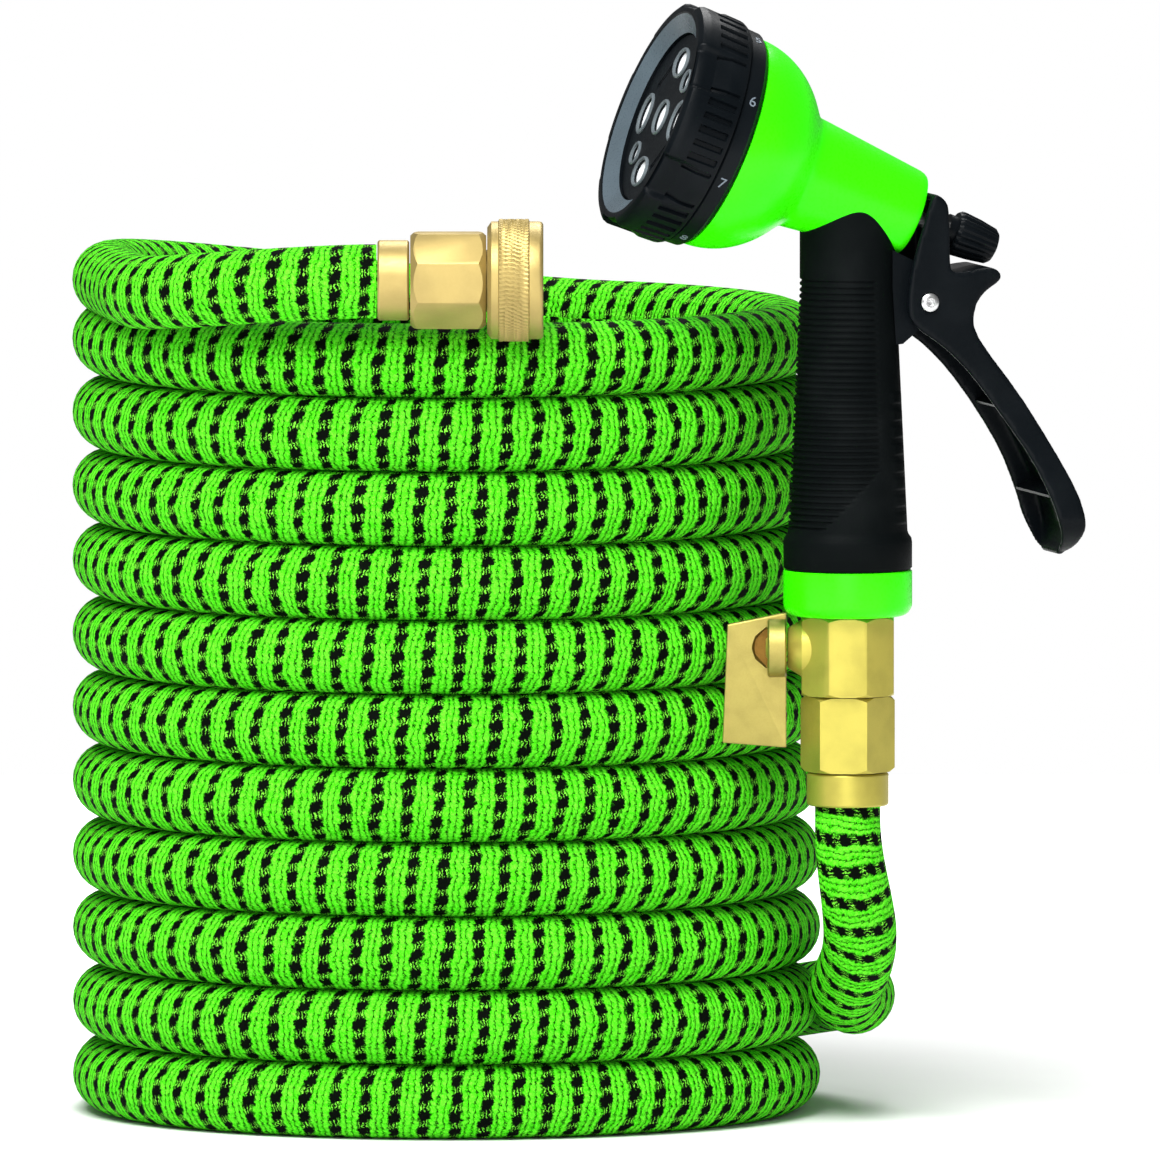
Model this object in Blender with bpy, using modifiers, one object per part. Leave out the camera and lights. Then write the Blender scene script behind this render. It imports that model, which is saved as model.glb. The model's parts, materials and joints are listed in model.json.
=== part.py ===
"""Expandable garden hose wound in an upright coil.

One end carries a brass tap coupling. The other end rises beside the coil into a brass shut-off
valve and a trigger spray nozzle. Metres, +Z up, the photograph's viewer on the -Y side.
"""
import math

import bmesh
import bpy
from mathutils import Matrix, Vector

MM = 0.001

# Fit between pieces
CLEARANCE = 0.3 * MM
RUNNING_FIT = 0.2 * MM

# Hose and its coil
HOSE_DIAMETER = 21.0 * MM
HOSE_SHRUNK_DIAMETER = 18.6 * MM
TURN_PITCH = 21.1 * MM
FULL_TURNS = 11
COIL_RADIUS = 96.5 * MM
GROOVE_ANGLE = math.radians(65.0)
FOOT_ANGLE = math.radians(12.0)
COIL_STEPS = 36
COIL_ARC_STEPS = 3
RIDE_GAP = 0.42 * MM
RISER_LEVEL_HEIGHT = 33.0 * MM
RISER_BEND_ANGLE = math.radians(28.0)
RISER_CLOSE_ANGLE = math.radians(20.0)
RISER_END_ANGLE = math.radians(94.0)

# Top turn, from its first free point round to the tap coupling
TOP_TURN_START = math.radians(112.0)
TOP_TURN_LEAVES = math.radians(190.0)
TAP_STANDOFF = 13.86 * MM
TOP_BEND_RADIUS = 65.6 * MM
TAP_YAW = 0.0
TAP_LIFT = 2.4 * MM
HOSE_END_STRAIGHT = 4.0 * MM

# Tap coupling along its own axis
TAP_FERRULE_LENGTH = 9.0 * MM
TAP_FERRULE_RADIUS = 11.4 * MM
TAP_BODY_LENGTH = 21.5 * MM
TAP_BODY_FLATS = 27.0 * MM
SWIVEL_LENGTH = 15.9 * MM
SWIVEL_RADIUS = 17.4 * MM
SWIVEL_BORE_RADIUS = 13.2 * MM
SWIVEL_BORE_DEPTH = 12.0 * MM
TAIL_RADIUS = 8.6 * MM
TAIL_BORE_RADIUS = 6.0 * MM
WASHER_THICKNESS = 2.5 * MM

# Valve and nozzle column beside the coil
COLUMN_STANDOFF = 31.379 * MM
COLUMN_ANGLE = math.radians(-34.31)
COLUMN_REACH = COIL_RADIUS + 0.5 * HOSE_DIAMETER + COLUMN_STANDOFF
COLUMN_X = COLUMN_REACH * math.cos(COLUMN_ANGLE)
COLUMN_Y = COLUMN_REACH * math.sin(COLUMN_ANGLE)
FERRULE_BOTTOM = 93.3 * MM
VALVE_FERRULE_LENGTH = 9.4 * MM
VALVE_FERRULE_RADIUS = 11.65 * MM
LOWER_HEX_HEIGHT = 21.8 * MM
LOWER_HEX_CORNERS = 27.0 * MM
LOWER_HEX_YAW = math.radians(24.0)
UPPER_BODY_HEIGHT = 22.6 * MM
UPPER_BODY_FLATS = 26.2 * MM
THREAD_RADIUS = 12.0 * MM
THREAD_LENGTH = 10.0 * MM

# Valve stem and its lever
STEM_YAW = math.radians(180.0)
STEM_BELOW_BODY_TOP = 9.0 * MM
STEM_NECK_RADIUS = 6.0 * MM
STEM_NECK_END = 17.1 * MM
HUB_RADIUS = 8.3 * MM
HUB_THICKNESS = 5.4 * MM
LEVER_REACH = 35.6 * MM
LEVER_THICKNESS = 2.6 * MM
LEVER_SETBACK = 2.6 * MM
LEVER_DROP = 28.6 * MM
LEVER_RISE_INNER = 10.0 * MM
LEVER_RISE_OUTER = 6.6 * MM
LEVER_SLANT = 1.4 * MM
LEVER_SCREW_RADIUS = 3.6 * MM
LEVER_POCKET_RADIUS = 6.0 * MM

# Nozzle connector, grip and barrel
NOZZLE_YAW = math.radians(15.0)
CONNECTOR_HEIGHT = 13.4 * MM
CONNECTOR_RADIUS = 18.4 * MM
CORE_RADIUS = 9.5 * MM
FLARE_HEIGHT = 10.8 * MM
FLARE_RADIUS = 18.3 * MM
GRIP_BOTTOM_RADIUS = 17.0 * MM
GRIP_TOP_RADIUS = 13.7 * MM
BARREL_AXIS_HEIGHT = 268.4 * MM
WAIST_BELOW_BARREL = 27.3 * MM
BARREL_TILT = math.radians(21.6)
BARREL_END = 19.7 * MM
BARREL_END_RADIUS = 12.5 * MM
BARREL_NECK = -17.0 * MM
BARREL_NECK_RADIUS = 16.6 * MM
BULB_RADIUS = 31.0 * MM
BULB_LENGTH = 27.5 * MM
COLLAR_LENGTH = 6.4 * MM
COLLAR_RADIUS = 32.4 * MM
DIAL_FRONT = -63.1 * MM
DIAL_DEPTH = 16.3 * MM
DIAL_RADIUS = 34.2 * MM
DIAL_BACK_RADIUS = 33.6 * MM
DIAL_BORE_RADIUS = 25.4 * MM
DIAL_BEVEL_RADIUS = 30.2 * MM
DIAL_BEVEL_DEPTH = 2.5 * MM
DIAL_LOBES = 6
FACE_THICKNESS = 3.0 * MM
FACE_DEPTH = 4.0 * MM

# Trigger, its pin, bracket, valve stem and flow knob
PIN_X = 20.3 * MM
PIN_BELOW_BARREL = 31.3 * MM
PIN_Z = BARREL_AXIS_HEIGHT - PIN_BELOW_BARREL
PIN_RADIUS = 2.0 * MM
PIN_HEAD_RADIUS = 2.6 * MM
PIN_HEAD_THICKNESS = 0.8 * MM
TRIGGER_WIDTH = 28.0 * MM
TRIGGER_WALL = 2.2 * MM
PADDLE_WIDTH = 42.0 * MM
PADDLE_DROP = 73.2 * MM
PADDLE_ROUND = 12.2 * MM
BRACKET_WIDTH = 18.0 * MM
PUSH_ROD_RADIUS = 2.2 * MM
ROD_IN_BARREL = 15.0 * MM
ROD_IN_KNOB = 8.0 * MM
KNOB_FRONT = 33.2 * MM
KNOB_LENGTH = 13.2 * MM
KNOB_RADIUS = 6.5 * MM
KNOB_BACK_RADIUS = 5.3 * MM
KNOB_COLLAR_RADIUS = 4.5 * MM
KNOB_COLLAR_LENGTH = 2.4 * MM

LIME = (0.058, 0.90, 0.014, 1.0)
LIME_PLASTIC = (0.058, 0.99, 0.002, 1.0)
BRASS = (0.76, 0.56, 0.21, 1.0)
BLACK = (0.008, 0.010, 0.012, 1.0)
STEEL = (0.60, 0.60, 0.60, 1.0)
SLATE = (0.022, 0.030, 0.038, 1.0)


def clear_scene():
    """Start from an empty file."""
    for thing in list(bpy.data.objects):
        bpy.data.objects.remove(thing, do_unlink=True)


def material(name, colour, metallic, roughness):
    """One plain material for one piece."""
    made = bpy.data.materials.new(name + "_material")
    made.use_nodes = True
    shader = made.node_tree.nodes["Principled BSDF"]
    shader.inputs["Base Color"].default_value = colour
    shader.inputs["Metallic"].default_value = metallic
    shader.inputs["Roughness"].default_value = roughness
    return made


def collect(thing, group):
    """Put an object in the collection of the piece it belongs to."""
    home = bpy.data.collections.get(group)
    if home is None:
        home = bpy.data.collections.new(group)
        bpy.context.scene.collection.children.link(home)
    home.objects.link(thing)


def piece(name, data, place, colour, metallic=0.0, roughness=0.5):
    """A finished piece, in its own collection with its own material."""
    thing = bpy.data.objects.new(name, data)
    thing.matrix_world = place
    data.materials.append(material(name, colour, metallic, roughness))
    collect(thing, name)
    return thing


def shade(thing, angle=math.radians(32.0)):
    """Smooth faces with sharp edges kept."""
    thing.data.shade_smooth()
    thing.data.set_sharp_from_angle(angle=angle)


def cut(target, cutter, operation="DIFFERENCE"):
    """Shape one piece with another solid that isn't part of the object."""
    if not cutter.users_collection:
        collect(cutter, "cutters")
    cutter.hide_render = True
    cutter.display_type = "WIRE"
    step = target.modifiers.new(cutter.name, "BOOLEAN")
    step.object = cutter
    step.operation = operation
    step.solver = "EXACT"


def solid(name, data, place):
    """A solid used only to shape others."""
    thing = bpy.data.objects.new(name, data)
    thing.matrix_world = place
    return thing


def profile_mesh(name, profile, closed):
    """The half section of a turned shape, as (radius, height) pairs down its outer side."""
    data = bpy.data.meshes.new(name)
    corners = [(radius, 0.0, height) for radius, height in profile]
    edges = [(i, i + 1) for i in range(len(corners) - 1)]
    if closed:
        edges.append((len(corners) - 1, 0))
    data.from_pydata(corners, edges, [])
    return data


def spin(thing, steps):
    """Turn a half section round its own Z axis."""
    turn = thing.modifiers.new("turned", "SCREW")
    turn.angle = 2.0 * math.pi
    turn.steps = steps
    turn.render_steps = steps
    turn.use_merge_vertices = True
    turn.merge_threshold = 0.00001
    turn.use_smooth_shade = True


def turned(name, profile, place, colour, metallic=0.0, roughness=0.5, steps=32, closed=False):
    """A turned piece."""
    thing = piece(name, profile_mesh(name, profile, closed), place, colour, metallic, roughness)
    spin(thing, steps)
    return thing


def turned_solid(name, profile, place, steps=40, closed=False):
    """A turned shaping solid."""
    thing = solid(name, profile_mesh(name, profile, closed), place)
    spin(thing, steps)
    return thing


def bar(name, radius, bottom, top, place, steps=32):
    """A plain round shaping solid between two heights."""
    return turned_solid(name, [(0.0, top), (radius, top), (radius, bottom), (0.0, bottom)], place, steps)


def prism_mesh(name, sides, corner_radius, bottom, top):
    """An upright prism with a flat towards -Y."""
    data = bpy.data.meshes.new(name)
    shape = bmesh.new()
    bmesh.ops.create_cone(
        shape, cap_ends=True, segments=sides, radius1=corner_radius, radius2=corner_radius,
        depth=top - bottom)
    spot = Matrix.Translation((0.0, 0.0, 0.5 * (top + bottom)))
    half_side = math.pi / sides
    first = Matrix.Rotation(-0.5 * math.pi - half_side, 4, "Z")
    bmesh.ops.transform(shape, matrix=spot @ first, verts=shape.verts)
    shape.to_mesh(data)
    shape.free()
    return data


def chamfer_profile(corner_radius, flats_radius, bottom, top, lean=0.45):
    """The turned envelope that rounds a prism's corners off at both ends."""
    drop = (corner_radius - flats_radius) * lean
    return [
        (0.0, top), (flats_radius, top), (corner_radius, top - drop),
        (corner_radius, bottom + drop), (flats_radius, bottom), (0.0, bottom)]


def plate_mesh(name, outline, width):
    """A flat plate: an outline in the XZ plane, its width shared to both sides of Y = 0."""
    flat = bpy.data.curves.new(name + "_outline", "CURVE")
    flat.dimensions = "2D"
    flat.fill_mode = "BOTH"
    flat.extrude = 0.5 * width
    loop = flat.splines.new("POLY")
    loop.points.add(len(outline) - 1)
    for knot, (along, up) in zip(loop.points, outline):
        knot.co = (along, up, 0.0, 1.0)
    loop.use_cyclic_u = True
    holder = bpy.data.objects.new(name + "_outline", flat)
    bpy.context.scene.collection.objects.link(holder)
    bpy.context.view_layer.update()
    data = bpy.data.meshes.new_from_object(
        holder.evaluated_get(bpy.context.evaluated_depsgraph_get()))
    bpy.data.objects.remove(holder, do_unlink=True)
    shape = bmesh.new()
    shape.from_mesh(data)
    bmesh.ops.remove_doubles(shape, verts=shape.verts, dist=1e-6)
    bmesh.ops.transform(shape, matrix=Matrix.Rotation(0.5 * math.pi, 4, "X"), verts=shape.verts)
    bmesh.ops.recalc_face_normals(shape, faces=shape.faces)
    shape.to_mesh(data)
    shape.free()
    data.name = name
    return data


def flowing(points, parts):
    """A smooth open run through the given points."""
    run = []
    last = len(points) - 1
    for i in range(last):
        before = Vector(points[max(i - 1, 0)])
        here = Vector(points[i])
        there = Vector(points[i + 1])
        after = Vector(points[min(i + 2, last)])
        for step in range(parts):
            t = step / parts
            run.append(0.5 * (
                2.0 * here + (there - before) * t
                + (2.0 * before - 5.0 * here + 4.0 * there - after) * t * t
                + (3.0 * here - before - 3.0 * there + after) * t * t * t))
    run.append(Vector(points[last]))
    return run


def inset(run, distance):
    """The same run moved sideways, to the right of its direction."""
    moved = []
    for i, spot in enumerate(run):
        ahead = run[min(i + 1, len(run) - 1)] - run[max(i - 1, 0)]
        side = Vector((ahead.y, -ahead.x)).normalized()
        moved.append(spot + side * distance)
    return moved


def hose_run(name, spots, thickness):
    """A stretch of hose along a smooth row of points, with a diameter at each."""
    route = bpy.data.curves.new(name, "CURVE")
    route.dimensions = "3D"
    route.bevel_depth = 0.5 * HOSE_DIAMETER
    route.bevel_resolution = 3
    route.use_fill_caps = True
    run = route.splines.new("POLY")
    run.points.add(len(spots) - 1)
    for knot, spot, width in zip(run.points, spots, thickness):
        knot.co = (spot.x, spot.y, spot.z, 1.0)
        knot.radius = width / HOSE_DIAMETER
    return piece(name, route, Matrix.Identity(4), LIME, 0.0, 0.7)


def ring_spot(radius, angle, height):
    """A point on a level circle round the coil's axis."""
    return Vector((radius * math.cos(angle), radius * math.sin(angle), height))


def level_height(turn):
    """The centre height of a turn, the lowest being turn 0, with its foot pressed flat."""
    return 0.5 * HOSE_DIAMETER * math.cos(FOOT_ANGLE) + turn * TURN_PITCH


def coil_profile():
    """Half section of the wound turns: a rounded scallop a turn, outside and inside."""
    half = 0.5 * HOSE_DIAMETER
    outer = []
    inner = []
    for turn in reversed(range(FULL_TURNS)):
        first = 0.5 * math.pi if turn == FULL_TURNS - 1 else GROOVE_ANGLE
        last = -0.5 * math.pi + FOOT_ANGLE if turn == 0 else -GROOVE_ANGLE
        steps = COIL_ARC_STEPS + (1 if turn in (0, FULL_TURNS - 1) else 0)
        for step in range(steps + 1):
            angle = first + (last - first) * step / steps
            height = level_height(turn) + half * math.sin(angle)
            outer.append((COIL_RADIUS + half * math.cos(angle), height))
            if angle < 0.5 * math.pi:
                inner.append((COIL_RADIUS - half * math.cos(angle), height))
    return outer + inner[::-1]


def make_coil():
    """Eleven full turns, wound level on level, as one turned solid."""
    turned(
        "hose_coil", coil_profile(), Matrix.Identity(4), LIME, 0.0, 0.7,
        steps=COIL_STEPS, closed=True)


def top_turn_route():
    """The last turn: round the back and left, then off the circle to the tap coupling."""
    height = level_height(FULL_TURNS) + CLEARANCE
    pitch = math.radians(6.0)
    count = round((TOP_TURN_LEAVES - TOP_TURN_START) / pitch)
    spots = []
    for i in range(count + 1):
        angle = TOP_TURN_START + (TOP_TURN_LEAVES - TOP_TURN_START) * i / count
        spots.append(ring_spot(COIL_RADIUS, angle, height))
    heading = TOP_TURN_LEAVES + 0.5 * math.pi - 2.0 * math.pi
    way = Vector((math.cos(heading), math.sin(heading), 0.0))
    bend = TAP_YAW - heading
    bend_depth = TOP_BEND_RADIUS * (math.cos(TAP_YAW) - math.cos(heading))
    straight = (COIL_RADIUS + TAP_STANDOFF + spots[-1].y - bend_depth) / -way.y
    for _ in range(2):
        spots.append(spots[-1] + 0.5 * straight * way)
    count = 10
    for i in range(count):
        chord = 2.0 * TOP_BEND_RADIUS * math.sin(0.5 * bend / count)
        middle = heading + bend * (i + 0.5) / count
        lift = TAP_LIFT / count
        spots.append(spots[-1] + Vector((chord * math.cos(middle), chord * math.sin(middle), lift)))
    along = Vector((math.cos(TAP_YAW), math.sin(TAP_YAW), 0.0))
    spots.append(spots[-1] + HOSE_END_STRAIGHT * along)
    return spots


def riser_route():
    """From the valve's ferrule down, back past the coil and round behind it on the floor."""
    start = math.atan2(COLUMN_Y, COLUMN_X)
    start_radius = math.hypot(COLUMN_X, COLUMN_Y)
    beside = COIL_RADIUS + HOSE_DIAMETER + RIDE_GAP
    floor = level_height(0) + CLEARANCE
    end_top = FERRULE_BOTTOM - CLEARANCE
    top = end_top - HOSE_END_STRAIGHT
    spots = [(start, end_top)]
    bend_steps = 9
    for i in range(bend_steps + 1):
        quarter = 0.5 * math.pi * i / bend_steps
        angle = start + RISER_BEND_ANGLE * (1.0 - math.cos(quarter))
        height = top - (top - RISER_LEVEL_HEIGHT) * math.sin(quarter)
        spots.append((angle, height))
    behind = start + RISER_BEND_ANGLE
    count = 14
    for i in range(1, count + 1):
        share = i / count
        ease = share * share * (3.0 - 2.0 * share)
        height = RISER_LEVEL_HEIGHT + (floor - RISER_LEVEL_HEIGHT) * ease
        spots.append((behind + (RISER_END_ANGLE - behind) * share, height))
    route = []
    for angle, height in spots:
        share = min((angle - start) / RISER_CLOSE_ANGLE, 1.0)
        ease = share * share * (3.0 - 2.0 * share)
        route.append(ring_spot(start_radius + (beside - start_radius) * ease, angle, height))
    return route


def make_hose_ends():
    """The two free stretches of hose."""
    top = top_turn_route()
    hose_run("hose_top_turn", top, [HOSE_DIAMETER] * len(top))
    riser = riser_route()
    widths = []
    for i in range(len(riser)):
        share = min(i / 8.0, 1.0)
        widths.append(HOSE_SHRUNK_DIAMETER + (HOSE_DIAMETER - HOSE_SHRUNK_DIAMETER) * share)
    hose_run("hose_riser", riser, widths)


def make_tap_coupling():
    """Ferrule, octagon body, swivel nut and washer on the hose's tap end."""
    end = top_turn_route()[-1]
    along = Matrix.Rotation(TAP_YAW, 4, "Z") @ Matrix.Rotation(0.5 * math.pi, 4, "Y")
    place = Matrix.Translation(end) @ along
    low = CLEARANCE
    high = low + TAP_FERRULE_LENGTH
    edge = 0.5 * MM
    turned("tap_ferrule", [
        (0.0, high), (TAP_FERRULE_RADIUS - edge, high), (TAP_FERRULE_RADIUS, high - edge),
        (TAP_FERRULE_RADIUS, low + edge), (TAP_FERRULE_RADIUS - edge, low), (0.0, low)],
        place, BRASS, 1.0, 0.3)

    low = high + CLEARANCE
    high = low + TAP_BODY_LENGTH
    corners = 0.5 * TAP_BODY_FLATS / math.cos(math.pi / 8.0)
    body = piece(
        "tap_body", prism_mesh("tap_body", 8, corners, low, high), place, BRASS, 1.0, 0.3)
    cut(body, turned_solid(
        "tap_body_ends", chamfer_profile(corners, 0.47 * TAP_BODY_FLATS, low, high, 1.1), place),
        "INTERSECT")
    tail_top = high + SWIVEL_LENGTH - SWIVEL_BORE_DEPTH + CLEARANCE
    cut(body, bar("tap_tail", TAIL_RADIUS, high - edge, tail_top, place), "UNION")
    cut(body, bar("tap_tail_bore", TAIL_BORE_RADIUS, high - 8.0 * MM, tail_top + edge, place))

    low = high + CLEARANCE
    high = low + SWIVEL_LENGTH
    shelf = high - SWIVEL_BORE_DEPTH
    chamfer = 1.2 * MM
    mouth = 0.8 * MM
    hole = TAIL_RADIUS + RUNNING_FIT
    band_low = low + 3.4 * MM
    band_high = high - 4.2 * MM
    groove = 0.7 * MM
    turned("tap_swivel_nut", [
        (SWIVEL_BORE_RADIUS + mouth, high), (SWIVEL_RADIUS - chamfer, high),
        (SWIVEL_RADIUS - groove, high - chamfer), (SWIVEL_RADIUS - groove, band_high),
        (SWIVEL_RADIUS, band_high), (SWIVEL_RADIUS, band_low),
        (SWIVEL_RADIUS - groove, band_low), (SWIVEL_RADIUS - groove, low + chamfer),
        (SWIVEL_RADIUS - 2.0 * chamfer, low), (hole, low), (hole, shelf),
        (SWIVEL_BORE_RADIUS, shelf), (SWIVEL_BORE_RADIUS, high - mouth)],
        place, BRASS, 1.0, 0.3, steps=48, closed=True)
    washer_low = shelf + 2.0 * CLEARANCE
    washer_high = washer_low + WASHER_THICKNESS
    rim = SWIVEL_BORE_RADIUS - RUNNING_FIT
    turned("tap_washer", [
        (rim, washer_high), (rim, washer_low), (TAIL_BORE_RADIUS, washer_low),
        (TAIL_BORE_RADIUS, washer_high)],
        place, BLACK, 0.0, 0.7, closed=True)


def make_valve():
    """Ferrule, hexagon nut and octagon body of the shut-off valve, with its stem neck."""
    column = Matrix.Translation((COLUMN_X, COLUMN_Y, 0.0))
    low = FERRULE_BOTTOM
    high = low + VALVE_FERRULE_LENGTH
    edge = 0.5 * MM
    turned("valve_ferrule", [
        (0.0, high), (VALVE_FERRULE_RADIUS - edge, high), (VALVE_FERRULE_RADIUS, high - edge),
        (VALVE_FERRULE_RADIUS, low + edge), (VALVE_FERRULE_RADIUS - edge, low), (0.0, low)],
        column, BRASS, 1.0, 0.3)

    low = high + CLEARANCE
    high = low + LOWER_HEX_HEIGHT - CLEARANCE
    corners = 0.5 * LOWER_HEX_CORNERS
    flats = corners * math.cos(math.pi / 6.0)
    nut = piece(
        "valve_lower_body", prism_mesh("valve_lower_body", 6, corners, low, high),
        column @ Matrix.Rotation(LOWER_HEX_YAW, 4, "Z"), BRASS, 1.0, 0.3)
    cut(nut, turned_solid(
        "valve_lower_ends", chamfer_profile(corners, flats + 0.5 * MM, low, high, 0.9), column),
        "INTERSECT")

    low = high + CLEARANCE
    high = low + UPPER_BODY_HEIGHT - CLEARANCE
    corners = 0.5 * UPPER_BODY_FLATS / math.cos(math.pi / 8.0)
    body = piece(
        "valve_body", prism_mesh("valve_body", 8, corners, low, high), column, BRASS, 1.0, 0.3)
    cut(body, turned_solid(
        "valve_body_ends", chamfer_profile(corners, 0.505 * UPPER_BODY_FLATS, low, high, 0.9),
        column), "INTERSECT")
    cut(body, bar("valve_thread", THREAD_RADIUS, high - edge, high + THREAD_LENGTH, column), "UNION")
    outward = Matrix.Rotation(STEM_YAW, 4, "Z") @ Matrix.Rotation(0.5 * math.pi, 4, "Y")
    stem = Matrix.Translation((COLUMN_X, COLUMN_Y, high - STEM_BELOW_BODY_TOP)) @ outward
    dome = 2.2 * MM
    cut(body, turned_solid("valve_neck", [
        (0.0, STEM_NECK_END), (STEM_NECK_RADIUS - edge, STEM_NECK_END),
        (STEM_NECK_RADIUS, STEM_NECK_END - edge), (STEM_NECK_RADIUS + dome, 0.5 * UPPER_BODY_FLATS),
        (STEM_NECK_RADIUS + dome, 0.0), (0.0, 0.0)], stem), "UNION")
    return high, stem


def make_lever(stem):
    """The valve's thumb lever: a round hub with a flat plate beside it, and its screw."""
    inner = STEM_NECK_END + CLEARANCE
    outer = inner + HUB_THICKNESS
    edge = 0.5 * MM
    upright = stem @ Matrix.Rotation(-0.5 * math.pi, 4, "Y")
    lever = piece("valve_lever", plate_mesh("valve_lever", [
        (inner, LEVER_RISE_INNER), (inner, -LEVER_DROP), (LEVER_REACH, LEVER_SLANT - LEVER_DROP),
        (LEVER_REACH - LEVER_SLANT, LEVER_RISE_OUTER)], LEVER_THICKNESS),
        upright, BRASS, 1.0, 0.35)
    shape = bmesh.new()
    shape.from_mesh(lever.data)
    bmesh.ops.translate(shape, vec=(0.0, -LEVER_SETBACK, 0.0), verts=shape.verts)
    shape.to_mesh(lever.data)
    shape.free()
    rounding = lever.modifiers.new("rounded", "BEVEL")
    rounding.width = 0.4 * MM
    rounding.segments = 2
    cut(lever, turned_solid("lever_hub", [
        (0.0, outer), (HUB_RADIUS - edge, outer), (HUB_RADIUS, outer - edge),
        (HUB_RADIUS, inner + edge), (HUB_RADIUS - edge, inner), (0.0, inner)], stem), "UNION")
    cut(lever, turned_solid("lever_pocket", [
        (0.0, outer + 5.0 * MM), (0.6 * LEVER_POCKET_RADIUS, outer + 3.4 * MM),
        (LEVER_POCKET_RADIUS, outer + edge), (LEVER_POCKET_RADIUS, outer - 2.0 * MM),
        (0.0, outer - 2.0 * MM)], stem))
    seat = outer - 2.0 * MM + CLEARANCE
    head = seat + 2.2 * MM
    screw = turned("lever_screw", [
        (0.0, head), (0.7 * LEVER_SCREW_RADIUS, head), (LEVER_SCREW_RADIUS, head - 1.0 * MM),
        (LEVER_SCREW_RADIUS, seat), (0.0, seat)], stem, BRASS, 1.0, 0.3, steps=28)
    slot = solid("lever_screw_slot", prism_mesh("lever_screw_slot", 4, 1.0, 0.0, 1.0), stem)
    slot.matrix_world = stem @ Matrix.Translation((0.0, 0.0, head - 1.2 * MM)) @ Matrix.Diagonal(
        (LEVER_SCREW_RADIUS * 1.6, 0.6 * MM, 3.0 * MM, 1.0))
    cut(screw, slot)


def barrel_place():
    """The barrel's axis as +Z, from the dial towards the flow knob."""
    turn = Matrix.Rotation(NOZZLE_YAW, 4, "Z")
    lean = Matrix.Rotation(0.5 * math.pi + BARREL_TILT, 4, "Y")
    return Matrix.Translation((COLUMN_X, COLUMN_Y, BARREL_AXIS_HEIGHT)) @ turn @ lean


def barrel_profile(grow=0.0):
    """Bulb and barrel, from the flow knob's end forward to the collar."""
    front = DIAL_FRONT + DIAL_DEPTH + COLLAR_LENGTH + CLEARANCE - grow
    profile = [
        (0.0, BARREL_END + grow), (BARREL_END_RADIUS - 0.8 * MM + grow, BARREL_END + grow),
        (BARREL_END_RADIUS + grow, BARREL_END - 0.8 * MM + grow),
        (BARREL_NECK_RADIUS + grow, BARREL_NECK)]
    steps = 9
    first = math.asin(BARREL_NECK_RADIUS / BULB_RADIUS)
    for step in range(1, steps + 1):
        angle = first + (0.5 * math.pi - first) * step / steps
        profile.append((
            BULB_RADIUS * math.sin(angle) + grow,
            front + grow + BULB_LENGTH * math.cos(angle)))
    profile.append((BULB_RADIUS + grow, front))
    profile.append((0.0, front))
    return profile


def grip_radius(height, low, high):
    """The grip's radius at a height between the flare and the barrel."""
    return GRIP_BOTTOM_RADIUS + (GRIP_TOP_RADIUS - GRIP_BOTTOM_RADIUS) * (height - low) / (high - low)


def grip_profile(bottom, grow=0.0):
    """The handle sleeve's outside."""
    flare = bottom + FLARE_HEIGHT
    top = BARREL_AXIS_HEIGHT
    waist = BARREL_AXIS_HEIGHT - WAIST_BELOW_BARREL
    edge = 0.8 * MM
    return [
        (0.0, top + grow), (GRIP_TOP_RADIUS + grow, top + grow), (GRIP_TOP_RADIUS + grow, waist),
        (grip_radius(0.5 * (flare + waist), flare, waist) + grow, 0.5 * (flare + waist)),
        (GRIP_BOTTOM_RADIUS + grow, flare), (FLARE_RADIUS + grow, flare - 2.6 * MM),
        (FLARE_RADIUS + grow, bottom + edge - grow), (FLARE_RADIUS - edge + grow, bottom - grow),
        (0.0, bottom - grow)]


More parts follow.
